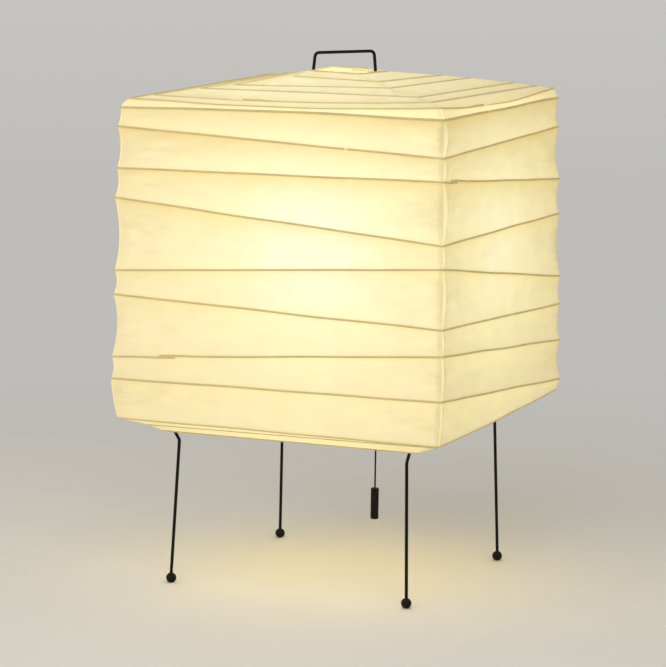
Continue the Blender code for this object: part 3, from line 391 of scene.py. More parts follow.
# Paper and the bulb's light coming through it
PAPER_FINISH = {"Roughness": 0.9, "Specular IOR Level": 0.2}
# Centres of each face's painted glow, set off from the bulb towards where that face is brightest
FRONT_GLOW = BULB_CENTRE + Vector((0.034, -0.026, 0.009))
RIGHT_GLOW = BULB_CENTRE + Vector((0.006, -0.016, 0.004))
ROOF_GLOW = BULB_CENTRE + Vector((-0.020, -0.040, 0.0))
OTHER_GLOW = BULB_CENTRE
GLOW_REACH = 0.138
GLOW_STOPS = (
    (0.00, (0.530, 0.410, 0.160)),
    (0.30, (0.605, 0.520, 0.235)),
    (0.65, (0.631, 0.575, 0.295)),
    (1.00, (0.600, 0.590, 0.445)),
)
SLANT_GLOW = 0.55
# Each face's copy of the paper has its own painted glow strength: brighter on the right, dimmer on the roof
SIDE_STRENGTH = 0.85
RIGHT_STRENGTH = 0.92
ROOF_STRENGTH = 0.645
UNDERSIDE_STRENGTH = 0.85
PAPER_DARK = (0.72, 0.63, 0.42)
PAPER_LIGHT = (0.80, 0.715, 0.49)
# Tints of the marks on the paper's colour and glow: paste with painted rib shadow, painted shade below
# ribs, painted fold shade with seams
RIB_PASTE_AND_SHADE_TINT = (0.86, 0.79, 0.64)
BELOW_RIB_SHADE_TINT = (0.95, 0.84, 0.52)
FOLD_SHADE_AND_SEAM_TINT = (0.70, 0.66, 0.46)
INSIDE_STRENGTH = 0.64
# Painted shade along fine wrinkles, their line width, and how far the ripples' painted shading brightens
# and darkens the glow
WRINKLE_SHADE_TINT = (0.955, 0.955, 0.88)
WRINKLE_LINE = 0.05
RIPPLE_SHADING = 0.34
CLOUD_SCALE = 45.0
CLOUD_DETAIL = 4.0
CLOUD_SPAN = (0.86, 1.14)
FIBRE_SCALE = 420.0
FIBRE_STRETCH = (1.0, 1.0, 3.0)
FIBRE_SPAN = (-0.06, 0.06)
GRAIN_SCALE = 1500.0
GRAIN_SHARE = 0.5
WRINKLE_STRETCH = (1.0, 1.0, 3.2)
WRINKLE_SCALE = 24.0
WRINKLE_RELIEF = 1.5
RIPPLE_SCALE = 34.0
PAPER_BUMP = 0.25
PAPER_RELIEF = 0.0003
INSIDE_DARK = (0.62, 0.60, 0.38)
INSIDE_LIGHT = (0.70, 0.68, 0.46)
INSIDE_SPAN = (0.9 * INSIDE_STRENGTH, 1.1 * INSIDE_STRENGTH)

# Bamboo, cord and opal glass
BAMBOO_BROAD_SCALE = 60.0
BAMBOO_GRAIN_SCALE = 900.0
BAMBOO_GLOW_SPAN = (0.7, 1.3)
BAMBOO_BUMP = 0.3
STRAND_LEAN = 0.6
STRAND_SCALE = 330.0
STRAND_WANDER = 0.6
STRAND_BUMP = 0.6
CORD_DARK = (0.003, 0.003, 0.0025)
CORD_LIGHT = (0.014, 0.012, 0.010)
OPAL_CLOUD_SCALE = 120.0
OPAL_GLOW_STOPS = ((0.0, (0.55, 0.36, 0.15)), (1.0, (1.0, 0.86, 0.56)))
OPAL_GLOW_SPAN = (1.9, 2.1)
OPAL_DARK = (0.86, 0.84, 0.78)
OPAL_LIGHT = (0.92, 0.90, 0.85)


def mottled_material(name, dark, light, roughness, scale, bump, constants):
    """A surface whose colour, gloss and relief vary softly."""
    material, nodes, shader = start_material(name, constants)
    place = nodes.add("TexCoord").outputs["Object"]
    broad = nodes.noise(place, scale)
    fine = nodes.noise(place, scale * FINE_SCALE, detail=5.0)
    nodes.put(shader.inputs["Base Color"], nodes.blend(broad, (*dark, 1), (*light, 1)))
    nodes.put(shader.inputs["Roughness"], nodes.span(fine, *roughness))
    nodes.put(shader.inputs["Normal"], nodes.bump(fine, bump, FINE_RELIEF))
    return material


def light_through(nodes, place, normal, centre):
    """How near the bulb is behind the sheet, 1 at the nearest, and how squarely its light comes through."""
    toward = nodes.add("VectorMath", {0: tuple(centre), 1: place}, operation="SUBTRACT").outputs[0]
    distance = nodes.add("VectorMath", {0: toward}, operation="LENGTH").outputs["Value"]
    facing = nodes.add("VectorMath", {0: toward, 1: normal}, operation="DOT_PRODUCT").outputs["Value"]
    squareness = nodes.math("DIVIDE", nodes.math("ABSOLUTE", facing), distance)
    nearness = nodes.math("POWER", nodes.math("DIVIDE", GLOW_REACH, distance), 2.0)
    share = nodes.math("MULTIPLY", squareness, nearness)
    return share, nodes.span(nodes.math("POWER", squareness, 2.0), SLANT_GLOW, 1.0)


def slack_paper(nodes, place):
    """Where the paper hangs slack: fine creases, 1 along their lines, for painted shade and relief, and
    soft ripples about 1 that paint shading on the glow.
    """
    slack = nodes.add("Attribute", attribute_name="slack").outputs["Fac"]
    flattened = nodes.add("Mapping", {"Vector": place, "Scale": WRINKLE_STRETCH}).outputs[0]
    wander = nodes.noise(flattened, WRINKLE_SCALE, detail=2.0, distortion=0.8)
    away = nodes.math("ABSOLUTE", nodes.math("SUBTRACT", wander, 0.5))
    inputs = {"Value": away, "From Max": WRINKLE_LINE, "To Min": 1.0, "To Max": 0.0}
    line = nodes.add("MapRange", inputs, interpolation_type="SMOOTHSTEP").outputs["Result"]
    swell = nodes.span(nodes.noise(flattened, RIPPLE_SCALE, detail=1.0, distortion=0.5), -RIPPLE_SHADING, RIPPLE_SHADING)
    ripple_shading = nodes.math("ADD", nodes.math("MULTIPLY", swell, slack), 1.0)
    return nodes.math("MULTIPLY", line, slack), ripple_shading


def paper_marks(nodes, wrinkles):
    """Painted marks: beside ribs paste and painted rib shadow, painted shade below ribs, at folds with the
    seams' doubled paper, and in wrinkles.
    """
    amounts = [nodes.add("Attribute", attribute_name=mark).outputs["Fac"] for mark in MARK_NAMES[:3]]
    tint = (1.0, 1.0, 1.0, 1.0)
    tints = (RIB_PASTE_AND_SHADE_TINT, BELOW_RIB_SHADE_TINT, FOLD_SHADE_AND_SEAM_TINT, WRINKLE_SHADE_TINT)
    for amount, mark_tint in zip(amounts + [wrinkles], tints):
        marked = nodes.blend(amount, (1.0, 1.0, 1.0, 1.0), (*mark_tint, 1.0))
        tint = nodes.blend(1.0, tint, marked, "MULTIPLY")
    return tint


def make_paper(name, strength, centre):
    """Handmade paper: long fibres, cloudy thickness, the bulb's light coming through, and painted shade at
    ribs, folds and wrinkles.
    """
    material, nodes, shader = start_material(name, PAPER_FINISH)
    coordinates = nodes.add("TexCoord")
    place = coordinates.outputs["Object"]
    cloud = nodes.noise(place, CLOUD_SCALE, detail=CLOUD_DETAIL)
    stretched = nodes.add("Mapping", {"Vector": place, "Scale": FIBRE_STRETCH}).outputs[0]
    fibre = nodes.noise(stretched, FIBRE_SCALE, detail=5.0, distortion=1.6)
    grain = nodes.noise(place, GRAIN_SCALE, detail=3.0)
    wrinkles, ripple_shading = slack_paper(nodes, place)
    marks = paper_marks(nodes, wrinkles)
    sheet = nodes.blend(fibre, (*PAPER_DARK, 1), (*PAPER_LIGHT, 1))
    nodes.put(shader.inputs["Base Color"], nodes.blend(1.0, sheet, marks, "MULTIPLY"))
    share, slant = light_through(nodes, place, coordinates.outputs["Normal"], centre)
    glow = nodes.ramp(share, GLOW_STOPS)
    thinness = nodes.math("ADD", nodes.span(cloud, *CLOUD_SPAN), nodes.span(fibre, *FIBRE_SPAN))
    nodes.put(shader.inputs["Emission Color"], nodes.blend(1.0, glow, marks, "MULTIPLY"))
    brightness = nodes.math("MULTIPLY", nodes.math("MULTIPLY", thinness, slant), ripple_shading)
    nodes.put(shader.inputs["Emission Strength"], nodes.math("MULTIPLY", brightness, strength))
    relief = nodes.math("ADD", fibre, nodes.math("MULTIPLY", grain, GRAIN_SHARE))
    relief = nodes.math("SUBTRACT", relief, nodes.math("MULTIPLY", wrinkles, WRINKLE_RELIEF))
    nodes.put(shader.inputs["Normal"], nodes.bump(relief, PAPER_BUMP, PAPER_RELIEF))
    return material


def make_inside_paper():
    """The paper's inner side, lit straight by the bulb."""
    material, nodes, shader = start_material("washi_inside", PAPER_FINISH)
    place = nodes.add("TexCoord").outputs["Object"]
    cloud = nodes.noise(place, CLOUD_SCALE, detail=CLOUD_DETAIL)
    nodes.put(shader.inputs["Base Color"], nodes.blend(cloud, (*PAPER_DARK, 1), (*PAPER_LIGHT, 1)))
    lit = nodes.blend(cloud, (*INSIDE_DARK, 1), (*INSIDE_LIGHT, 1))
    nodes.put(shader.inputs["Emission Color"], lit)
    nodes.put(shader.inputs["Emission Strength"], nodes.span(cloud, *INSIDE_SPAN))
    return material


def make_bamboo(name, dark, light, glow):
    """Split bamboo under paste and paper, with long grain and a little light from behind."""
    material, nodes, shader = start_material(name, {"Roughness": 0.7})
    place = nodes.add("TexCoord").outputs["Object"]
    broad = nodes.noise(place, BAMBOO_BROAD_SCALE, detail=4.0)
    fine = nodes.noise(place, BAMBOO_GRAIN_SCALE, detail=4.0)
    colour = nodes.blend(broad, (*dark, 1), (*light, 1))
    low, high = BAMBOO_GLOW_SPAN
    nodes.put(shader.inputs["Base Color"], colour)
    nodes.put(shader.inputs["Emission Color"], colour)
    nodes.put(shader.inputs["Emission Strength"], nodes.span(broad, glow * low, glow * high))
    nodes.put(shader.inputs["Normal"], nodes.bump(fine, BAMBOO_BUMP, FINE_RELIEF))
    return material


def make_cord_braid():
    """Black braided cord: two crossing sets of strands."""
    material, nodes, shader = start_material("black_cord", {"Roughness": 0.85, "Specular IOR Level": 0.2})
    place = nodes.add("TexCoord").outputs["Object"]
    strands = []
    for lean in (STRAND_LEAN, -STRAND_LEAN):
        turned = nodes.add("Mapping", {"Vector": place, "Rotation": (0.0, lean, 0.0)}).outputs[0]
        wave = nodes.add("TexWave", {"Vector": turned, "Scale": STRAND_SCALE, "Distortion": STRAND_WANDER})
        wave.bands_direction = "Z"
        strands.append(wave.outputs["Fac"])
    braid = nodes.math("MAXIMUM", strands[0], strands[1])
    nodes.put(shader.inputs["Base Color"], nodes.blend(braid, (*CORD_DARK, 1), (*CORD_LIGHT, 1)))
    nodes.put(shader.inputs["Normal"], nodes.bump(braid, STRAND_BUMP, FINE_RELIEF))
    return material


def make_opal_glass():
    """The lit bulb's opal glass, a little dimmer towards its neck."""
    material, nodes, shader = start_material("opal_glass", {"Roughness": 0.25})
    place = nodes.add("TexCoord").outputs["Object"]
    height = nodes.add("SeparateXYZ", {"Vector": place}).outputs["Z"]
    share = nodes.add("MapRange", {"Value": height, "From Min": bulb_low.z, "From Max": BULB_CENTRE.z})
    cloud = nodes.noise(place, OPAL_CLOUD_SCALE)
    lit = nodes.ramp(share.outputs["Result"], OPAL_GLOW_STOPS)
    nodes.put(shader.inputs["Base Color"], nodes.blend(cloud, (*OPAL_DARK, 1), (*OPAL_LIGHT, 1)))
    nodes.put(shader.inputs["Emission Color"], lit)
    nodes.put(shader.inputs["Emission Strength"], nodes.span(cloud, *OPAL_GLOW_SPAN))
    return material


# One copy of the paper for each face, each with its own painted glow
side_papers = {
    "front": make_paper("washi_front", SIDE_STRENGTH, FRONT_GLOW),
    "right": make_paper("washi_right", RIGHT_STRENGTH, RIGHT_GLOW),
    "back": make_paper("washi_back", SIDE_STRENGTH, OTHER_GLOW),
    "left": make_paper("washi_left", SIDE_STRENGTH, OTHER_GLOW),
}
roof_paper = make_paper("washi_roof", ROOF_STRENGTH, ROOF_GLOW)
underside_paper = make_paper("washi_underside", UNDERSIDE_STRENGTH, OTHER_GLOW)
inside_paper = make_inside_paper()
rib_tan = make_bamboo("bamboo_rib", (0.50, 0.41, 0.18), (0.62, 0.515, 0.25), 0.22)
roof_rib_tan = make_bamboo("bamboo_roof_rib", (0.52, 0.44, 0.26), (0.66, 0.57, 0.36), 0.2)
slot_materials = {name: mottled_material(name, *finish) for name, finish in MOTTLED.items()}
slot_materials["washi_paper"] = roof_paper
slot_materials["bamboo_rib"] = rib_tan
slot_materials["black_cord"] = make_cord_braid()
slot_materials["opal_glass"] = make_opal_glass()


# Tools for pieces

def add_piece(name, data, material, body="lamp", stands_for=()):
    """A piece of the looks that rides on a body and stands for nodes of the frame."""
    piece = bpy.data.objects.new(name, data)
    data.materials.append(material)
    bpy.context.scene.collection.objects.link(piece)
    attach(piece, body)
    if stands_for:
        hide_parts(*stands_for)
    return piece


def add_slot_piece(name, data, slot, stands_for, body="lamp"):
    """A piece in its slot's own material."""
    return add_piece(name, data, slot_materials[slot], body, stands_for)


def curve_data(name, points, radius, sides, scales=None):
    """A round wire along a line of points, whose thickness may vary."""
    curve = bpy.data.curves.new(name, "CURVE")
    curve.dimensions = "3D"
    curve.bevel_depth = radius
    curve.bevel_resolution = sides
    curve.use_fill_caps = True
    spline = curve.splines.new("POLY")
    spline.points.add(len(points) - 1)
    for spline_point, point, scale in zip(spline.points, points, scales or [1.0] * len(points)):
        spline_point.co = (*point, 1.0)
        spline_point.radius = scale
    spline.use_smooth = True
    return curve


def turned_data(name, profile, place):
    """A closed shape turned about an upright axis from (radius, height) points, top to bottom."""
    mesh = bpy.data.meshes.new(name)
    work = bmesh.new()
    angles = [math.tau * i / TURNED_SEGMENTS for i in range(TURNED_SEGMENTS)]
    rings = []
    for radius, height in profile:
        if radius == 0:
            rings.append([work.verts.new(place + UP * height)])
            continue
        around = [Vector((radius * math.cos(a), radius * math.sin(a), height)) for a in angles]
        rings.append([work.verts.new(place + point) for point in around])
    for upper, lower in zip(rings, rings[1:]):
        for i in range(TURNED_SEGMENTS):
            j = (i + 1) % TURNED_SEGMENTS
            below = [lower[i % len(lower)], lower[j % len(lower)]]
            above = [upper[j % len(upper)], upper[i % len(upper)]]
            work.faces.new(list(dict.fromkeys(below + above)))
    for face in work.faces:
        face.smooth = True
    work.to_mesh(mesh)
    work.free()
    return mesh


def arc(centre, radius, start_degrees, end_degrees, steps):
    """Points of an arc in a plane."""
    sweep = end_degrees - start_degrees
    angles = [math.radians(start_degrees + sweep * i / steps) for i in range(steps + 1)]
    return [(centre[0] + radius * math.cos(a), centre[1] + radius * math.sin(a)) for a in angles]


def fillet(before, corner, after, radius, steps=ARC_STEPS):
    """Points of the arc that rounds off a corner."""
    back = (before - corner).normalized()
    ahead = (after - corner).normalized()
    half = back.angle(ahead) / 2
    centre = corner + (back + ahead).normalized() * (radius / math.sin(half))
    first = corner + back * (radius / math.tan(half)) - centre
    last = corner + ahead * (radius / math.tan(half)) - centre
    axis = first.cross(last).normalized()
    sweep = first.angle(last)
    return [centre + Matrix.Rotation(sweep * i / steps, 3, axis) @ first for i in range(steps + 1)]


# Ribs, each read from its node in the frame

class Rib:
    """A rib ring: its corners before rounding, and how its line strays."""

    def __init__(self, name, strays):
        self.name = name
        self.radius = SPLIT_CORNER_RADIUS
        self.retreat = RIB_CORNER_RADIUS * (DIAGONAL - 1)
        self.stray = RIB_WAVE if strays else 0.0
        self.seed = len(name) + sum(map(ord, name)) % SEED_COUNT
        points = np.array([vertex.co for vertex in frame["nodes"][name].data.vertices])
        self.corners = [self.corner(points, i) for i in range(4)]

    def corner(self, points, index):
        """The sharp corner outside the middle of a rounded one."""
        out = CORNER_OUT[index]
        outermost = points[(points @ np.array(out)).argmax()]
        section = points[np.linalg.norm(points - outermost, axis=1) < 2 * RIB_RADIUS]
        middle = np.unique(section.round(6), axis=0).mean(axis=0)
        outwards, upwards = NUDGES.get((self.name, index), (0.0, 0.0))
        return Vector(middle) + out * (self.retreat + outwards) + UP * upwards

    def wave(self, face, share):
        """How far the line strays up or down, at a share of one side."""
        ease = max(0.0, min(1.0, share / WAVE_EASE, (1 - share) / WAVE_EASE))
        bow = BOWS.get((self.name, face), 0.0) * 4 * share * (1 - share)
        place = Vector((share * WAVES_PER_SIDE, face * FACE_APART, self.seed))
        return bow + self.stray * ease * noise.noise(place)

    def line(self):
        """The ring's points in order, and which point each face's straight run starts at."""
        points = []
        for face in range(4):
            start, end = self.corners[face], self.corners[(face + 1) % 4]
            length = (end - start).length
            points += fillet(self.corners[face - 1], start, end, self.radius)
            count = int((length - 2 * self.radius) / RIB_POINT_SPACING)
            for i in range(1, count):
                share = (self.radius + (length - 2 * self.radius) * i / count) / length
                points.append(start.lerp(end, share) + UP * self.wave(face, share))
        return points


def line_lengths(points):
    """How far along a line each of its points lies."""
    lengths = [0.0]
    for before, after in zip(points, points[1:]):
        lengths.append(lengths[-1] + (after - before).length)
    return lengths


def splice(rib):
    """A rib's line from one end to the other, with its ends side by side where they meet."""
    spread = (rib.seed * HIDDEN_SPLICE_STEP) % 1.0
    hidden_share = HIDDEN_SPLICE_START + HIDDEN_SPLICE_RANGE * spread
    hidden = (HIDDEN_SPLICE_FACE, hidden_share, SPLICE_LAP, 1)
    face, share, lap, side = SPLICES.get(rib.name, hidden)
    ring = rib.line()
    meeting = rib.corners[face].lerp(rib.corners[(face + 1) % 4], share)
    first = min(range(len(ring)), key=lambda i: (ring[i] - meeting).length)
    ring = ring[first:] + ring[:first + 1]
    if lap > 0:
        ring.append(ring[-1].lerp(ring[1], lap / (ring[1] - ring[-1]).length))
    else:
        ring[-1] = ring[-1].lerp(ring[-2], -lap / (ring[-1] - ring[-2]).length)
        return ring
    lengths = line_lengths(ring)
    apart = UP * SPLIT_RADIUS * side
    line = []
    for point, gone in zip(ring, lengths):
        from_start = max(0.0, 1 - gone / (lap + SPLICE_BLEND))
        from_end = max(0.0, 1 - (lengths[-1] - gone) / (lap + SPLICE_BLEND))
        line.append(point + apart * min(1.0, 2 * from_start) - apart * min(1.0, 2 * from_end))
    return line


def rib_scales(name, line):
    """How thick a rib is at each point of its line, as a share of its own thickness."""
    if name in ROOF_RIB_NAMES[1:-1]:
        return [ROOF_FAR_SCALE if point.x < point.y else 1.0 for point in line]
    thin = THIN_START.get(name, 1.0)
    return [thin + (1 - thin) * min(1.0, gone / THIN_LENGTH) for gone in line_lengths(line)]


def make_ribs():
    """All rib rings, the roof's a little paler."""
    ribs = {}
    for name in SIDE_RIB_NAMES + ROOF_RIB_NAMES[1:] + UNDERSIDE_RIB_NAMES[1:]:
        ribs[name] = Rib(name, name in SIDE_RIB_NAMES)
        material = roof_rib_tan if name in ROOF_RIB_NAMES[1:] else rib_tan
        line = splice(ribs[name])
        radius = SPLIT_RADIUS * RIB_SCALES.get(name, 1.0)
        data = curve_data(name + "_split", line, radius, RIB_SIDES, rib_scales(name, line))
        add_piece(name + "_split", data, material, stands_for=[name])
    return ribs


ribs = make_ribs()


# Paper

SHADE_TOP = ribs["rib_shoulder_upper"].corners[0].z
SHADE_BOTTOM = ribs["rib_bottom_edge"].corners[0].z


def close_shares(length, near_steps, count):
    """Shares of a length, close together at both ends, without the last one."""
    near = [step / length for step in near_steps if step < length / 3]
    low = near[-1] if near else 0.0
    inner = [low + (1 - 2 * low) * i / count for i in range(1, count)]
    return [0.0] + near + inner + [1 - share for share in reversed(near)]


def wrinkle(face, along, height, from_corner):
    """Depth of the creases that run in from the corners."""
    spread = WRINKLE_EVERYWHERE + math.exp(-from_corner / WRINKLE_REACH)
    crease = abs(noise.noise(Vector((along * CREASES_ALONG, height * CREASES_UP, face * CREASES_FACE))))
    billow_place = Vector((along * BILLOWS_ALONG, height * BILLOWS_UP, face * BILLOWS_FACE + BILLOWS_START))
    return WRINKLE_DEPTH * spread * (CREASE_SHARE * crease - BILLOW_SHARE * noise.noise(billow_place))


class Sheet:
    """Paper over a run of ribs, gathered face by face into one mesh."""

    def __init__(self, name, rib_names, lift, sag, folds):
        self.name = name
        self.rings = [ribs[rib_name] for rib_name in rib_names]
        self.lift = lift
        self.sag = sag
        self.folds = folds
        self.work = bmesh.new()
        layers = self.work.verts.layers.float
        self.layers = [layers.new(mark) for mark in MARK_NAMES]

    def fold(self, corners, spread, corner, other):
        """Place of the fold beside a corner, on the way to a neighbouring corner."""
        top, middle, bottom = CORNER_FOLDS[corner][0 if other == (corner - 1) % 4 else 1]
        share = (corners[corner].z - SHADE_BOTTOM) / (SHADE_TOP - SHADE_BOTTOM)
        size = middle + (top - middle) * max(0.0, 2 * share - 1)
        size += (bottom - middle) * max(0.0, 1 - 2 * share)
        along = (corners[other] - corners[corner]).normalized()
        return corners[corner] + along * (CORNER_EASE + spread * size * self.folds)

    def row(self, upper, lower, share, face, out):
        """One line of points across a face, from corner to corner, with each point's marks."""
        start, end, before, after = face, (face + 1) % 4, (face - 1) % 4, (face + 2) % 4
        corners = [high.lerp(low, share) for high, low in zip(upper.corners, lower.corners)]
        drops = [(high - low).length for high, low in zip(upper.corners, lower.corners)]
        bulge = 4 * share * (1 - share)
        is_shoulder = lower.name == "rib_shoulder_lower"
        swells = {i: bulge * SWELLS.get((lower.name, i), 0.0) for i in (start, end)}
        spreads = {i: bulge * min(1.0, drops[i] / FULL_BAND) for i in (start, end)}
        spreads.update({i: 0.0 for i in (start, end) if (lower.name, i) in SWELLS})
        first = self.fold(corners, spreads[start], start, end)
        last = self.fold(corners, spreads[end], end, start)
        length = (corners[end] - corners[start]).length
        height_share = (corners[start].z - SHADE_BOTTOM) / (SHADE_TOP - SHADE_BOTTOM)
        # How dark the seam by the end corner is: doubled paper at the paste seam, and painted shade of the
        # fold
        seam = SEAM_PASTE_AND_SHADE * (1 + self.folds) / 2
        points = []
        for across in close_shares(length, FOLD_STEPS, FACE_COLUMNS) + [1.0]:
            point = first.lerp(last, across)
            gone = (point - corners[start]).length
            drop = drops[start] + (drops[end] - drops[start]) * across
            full = min(1.0, drop / FULL_BAND)
            stray = upper.wave(face, gone / length) * (1 - share) + lower.wave(face, gone / length) * share
            from_corner = min(gone, length - gone)
            from_fold = min((point - first).length, (point - last).length)
            ease = min(1.0, from_fold / FOLD_EASE)
            hang = self.sag + wrinkle(face, gone, point.z + out.z, from_corner)
            depth = 0.0 if is_shoulder else hang * full * bulge * ease
            swell = swells[start] + (swells[end] - swells[start]) * across
            slack = min(1.0, WRINKLE_EVERYWHERE + math.exp(-from_corner / WRINKLE_REACH)) * full * bulge
            # Darker beside the ribs: paste, and the ribs' painted shadow
            near = math.exp(-(min(share, 1 - share) * drop / RIB_SHADE_REACH) ** 2)
            # Painted shade just below each rib, stronger higher up the shade
            above = math.exp(-share * drop / BELOW_RIB_SHADE_REACH) * max(BELOW_RIB_SHADE_LEAST, height_share) * full
            from_end = (point - last).length
            # Painted shade along the fold at the face's end corner, stronger higher up, and the seam's
            # darker strip beside it
            crease = self.folds * spreads[end] * height_share * math.exp(-(from_end / FOLD_SHADE_REACH) ** 2)
            crease = max(crease, seam * max(0.0, min(1.0, 2 - from_end / SEAM_REACH)))
            place = point + UP * stray + out * (self.lift + swell - depth)
            points.append((place, (near, above, crease, slack)))
        # The facet at the end corner is darkened like the seam
        facets = [(start, before, before, first, points[0], 0.0), (end, after, end, last, points[-1], seam)]
        ends = []
        for corner, other, other_face, near_fold, (edge, marks), darkening in facets:
            far_fold = self.fold(corners, spreads[corner], corner, other)
            other_out = out if out.z else FACE_OUT[other_face]
            lift = self.lift + swells[corner]
            middle = (far_fold + other_out * lift + near_fold + out * lift) / 2
            width = max(FACET_LEAST, (middle - edge).length)
            beside = edge.lerp(middle, min(FACET_EDGE, FOLD_STEPS[0] / width))
            facet_marks = (marks[0], 0.0, darkening, 0.0)
            ends.append([(middle, facet_marks), (beside, facet_marks)])
        return ends[0] + points + ends[1][::-1]

    def wrap(self, last_row, face, out):
        """Rows that carry the paper round the last rib to its inner side, darker along a lower lip, most at
        its corners.
        """
        corner_outs = {0: CORNER_OUT[face], len(last_row) - 1: CORNER_OUT[(face + 1) % 4]}
        darkening = max(0.0, -out.z)
        rows = []
        for step in range(1, WRAP_STEPS + 1):
            angle = math.pi * step / WRAP_STEPS
            row = []
            for i, (point, _) in enumerate(last_row):
                outward = corner_outs.get(i, FACE_OUT[face])
                turned = out * math.cos(angle) - outward * math.sin(angle)
                cornering = max(0.0, 1 - min(i, len(last_row) - 1 - i) / DARK_CORNER_COLUMNS)
                lip_darkening = darkening * (LIP_DARKENING + (1 - LIP_DARKENING) * cornering)
                row.append((point - out * self.lift + turned * WRAP_RADIUS, (lip_darkening, 0.0, lip_darkening, 0.0)))
            rows.append(row)
        return rows

    def add_face(self, face, out, wrapped=False):
        """The paper of one face, over every band, and turned over the last rib if it is wrapped."""
        rows = []
        for upper, lower in zip(self.rings, self.rings[1:]):
            gaps = [(high - low).length for high, low in zip(upper.corners, lower.corners)]
            height = sum(gaps) / len(gaps)
            count = max(2, round((height - 2 * NEAR_RIB_STEPS[-1]) / BAND_STEP))
            for share in close_shares(height, NEAR_RIB_STEPS, count):
                rows.append(self.row(upper, lower, share, face, out))
        rows.append(self.row(self.rings[-2], self.rings[-1], 1.0, face, out))
        if wrapped:
            rows += self.wrap(rows[-1], face, out)
        if out.z > 0:
            rows.reverse()
        grid = [[self.add_point(place, marks) for place, marks in row] for row in rows]
        for upper, lower in zip(grid, grid[1:]):
            for i in range(len(upper) - 1):
                self.work.faces.new((lower[i], lower[i + 1], upper[i + 1], upper[i]))

    def add_point(self, place, marks):
        """A point of the sheet with its marks."""
        vert = self.work.verts.new(place)
        for layer, mark in zip(self.layers, marks):
            vert[layer] = mark
        return vert

    def finish(self, stands_for, material):
        """The mesh as a piece, thickened inwards."""
        bmesh.ops.remove_doubles(self.work, verts=self.work.verts, dist=WELD_DISTANCE)
        for face in self.work.faces:
            face.smooth = True
        for edge in self.work.edges:
            edge.smooth = not edge.is_boundary
        mesh = bpy.data.meshes.new(self.name)
        self.work.to_mesh(mesh)
        self.work.free()
        piece = add_piece(self.name, mesh, material, stands_for=[stands_for])
        solidify = piece.modifiers.new("thickness", "SOLIDIFY")
        solidify.thickness = PAPER_THICKNESS
        solidify.offset = -1.0
        mesh.materials.append(inside_paper)
        solidify.material_offset = 1


def make_paper_sheets():
    """Four sides, the roof and the underside."""
    for face, face_name in enumerate(FACE_NAMES):
        side = Sheet(f"paper_{face_name}_sheet", SIDE_RIB_NAMES, SIDE_PAPER_LIFT, SIDE_SAG, 1.0)
        side.add_face(face, FACE_OUT[face])
        side.finish("paper_" + face_name, side_papers[face_name])
    roof = Sheet("paper_roof_sheet", ROOF_RIB_NAMES, ROOF_PAPER_LIFT, FLAT_SAG, 0.0)
    underside = Sheet("paper_underside_sheet", UNDERSIDE_RIB_NAMES, UNDERSIDE_PAPER_LIFT, FLAT_SAG,
                      UNDERSIDE_FOLDS)
    for face in range(4):
        roof.add_face(face, UP, wrapped=True)
        underside.add_face(face, -UP, wrapped=True)
    roof.finish("paper_roof", roof_paper)
    underside.finish("paper_underside", underside_paper)


make_paper_sheets()


# Wire stand

def on_diagonal(out, along, height):
    """A point in the upright plane through the axis and one corner."""
    return out * along + UP * height


def leg_line(corner_name, held, ring):
    """A leg in its upright plane: arm, finger doubled back over the held corner, crook, knee, foot."""
    ring_height = ring.corners[0].z
    ring_reach = ring.corners[1].x * DIAGONAL - ring.retreat
    foot_low, foot_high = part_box("foot_" + corner_name)
    ankle = Vector((abs(foot_low.x + foot_high.x) / 2 * DIAGONAL, 0, foot_high.z))
    seat = RIB_RADIUS + TOUCH_GAP + WIRE_RADIUS
    arm_height = ring_height + seat
    finger_height = held.z + seat
    finger_middle = (ring_reach, finger_height + FINGER_BEND_RADIUS)
    finger = arc(finger_middle, FINGER_BEND_RADIUS, 90, -90, 2 * ARC_STEPS)
    knee_inset, knee_drop = KNEES[corner_name]
    knee = Vector((ring_reach - knee_inset, 0, ring_height - knee_drop))
    slope = math.tan(math.radians(LEG_SLOPE))
    crook = Vector((knee.x + (finger_height - knee.z) / slope, 0, finger_height))
    bends = fillet(Vector((ring_reach, 0, finger_height)), crook, knee, CROOK_RADIUS)
    bends += fillet(crook, knee, ankle, KNEE_RADIUS)
    line = [(HUB_START, arm_height), (ARM_LEVEL_REACH, arm_height)] + finger
    line += [(point.x, point.z) for point in bends]
    return line + [(ankle.x, ankle.z), (ankle.x, foot_high.z / 2)]


def make_legs():
    """Four legs with their ball feet."""
    ring = ribs["rib_opening"]
    for out, corner_name, held in zip(CORNER_OUT, CORNER_NAMES, ring.corners):
        line = leg_line(corner_name, held, ring)
        points = [on_diagonal(out, along, height) for along, height in line]
        data = curve_data(f"leg_{corner_name}_wire", points, WIRE_RADIUS, WIRE_SIDES)
        add_slot_piece(f"leg_{corner_name}_wire", data, "black_wire", ["leg_" + corner_name])
        foot_low, foot_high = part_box("foot_" + corner_name)
        place = (foot_low + foot_high) / 2
        make_foot(corner_name, Vector((place.x, place.y, 0.0)), foot_high.x - foot_low.x)


def make_foot(corner_name, place, diameter):
    """A ball foot with a small flat to stand on and a bore that the leg goes into."""
    radius = diameter / 2
    bore = WIRE_RADIUS + TOUCH_GAP
    middle = math.sqrt(radius ** 2 - FOOT_FLAT_RADIUS ** 2)
    top = math.degrees(math.acos(bore / radius))
    bottom = -math.degrees(math.acos(FOOT_FLAT_RADIUS / radius))
    profile = [(0.0, radius), (bore, radius)] + arc((0.0, middle), radius, top, bottom, FOOT_STEPS)
    profile.append((0.0, 0.0))
    data = turned_data(f"foot_{corner_name}_ball", profile, place)
    add_slot_piece(f"foot_{corner_name}_ball", data, "black_ball", ["foot_" + corner_name])


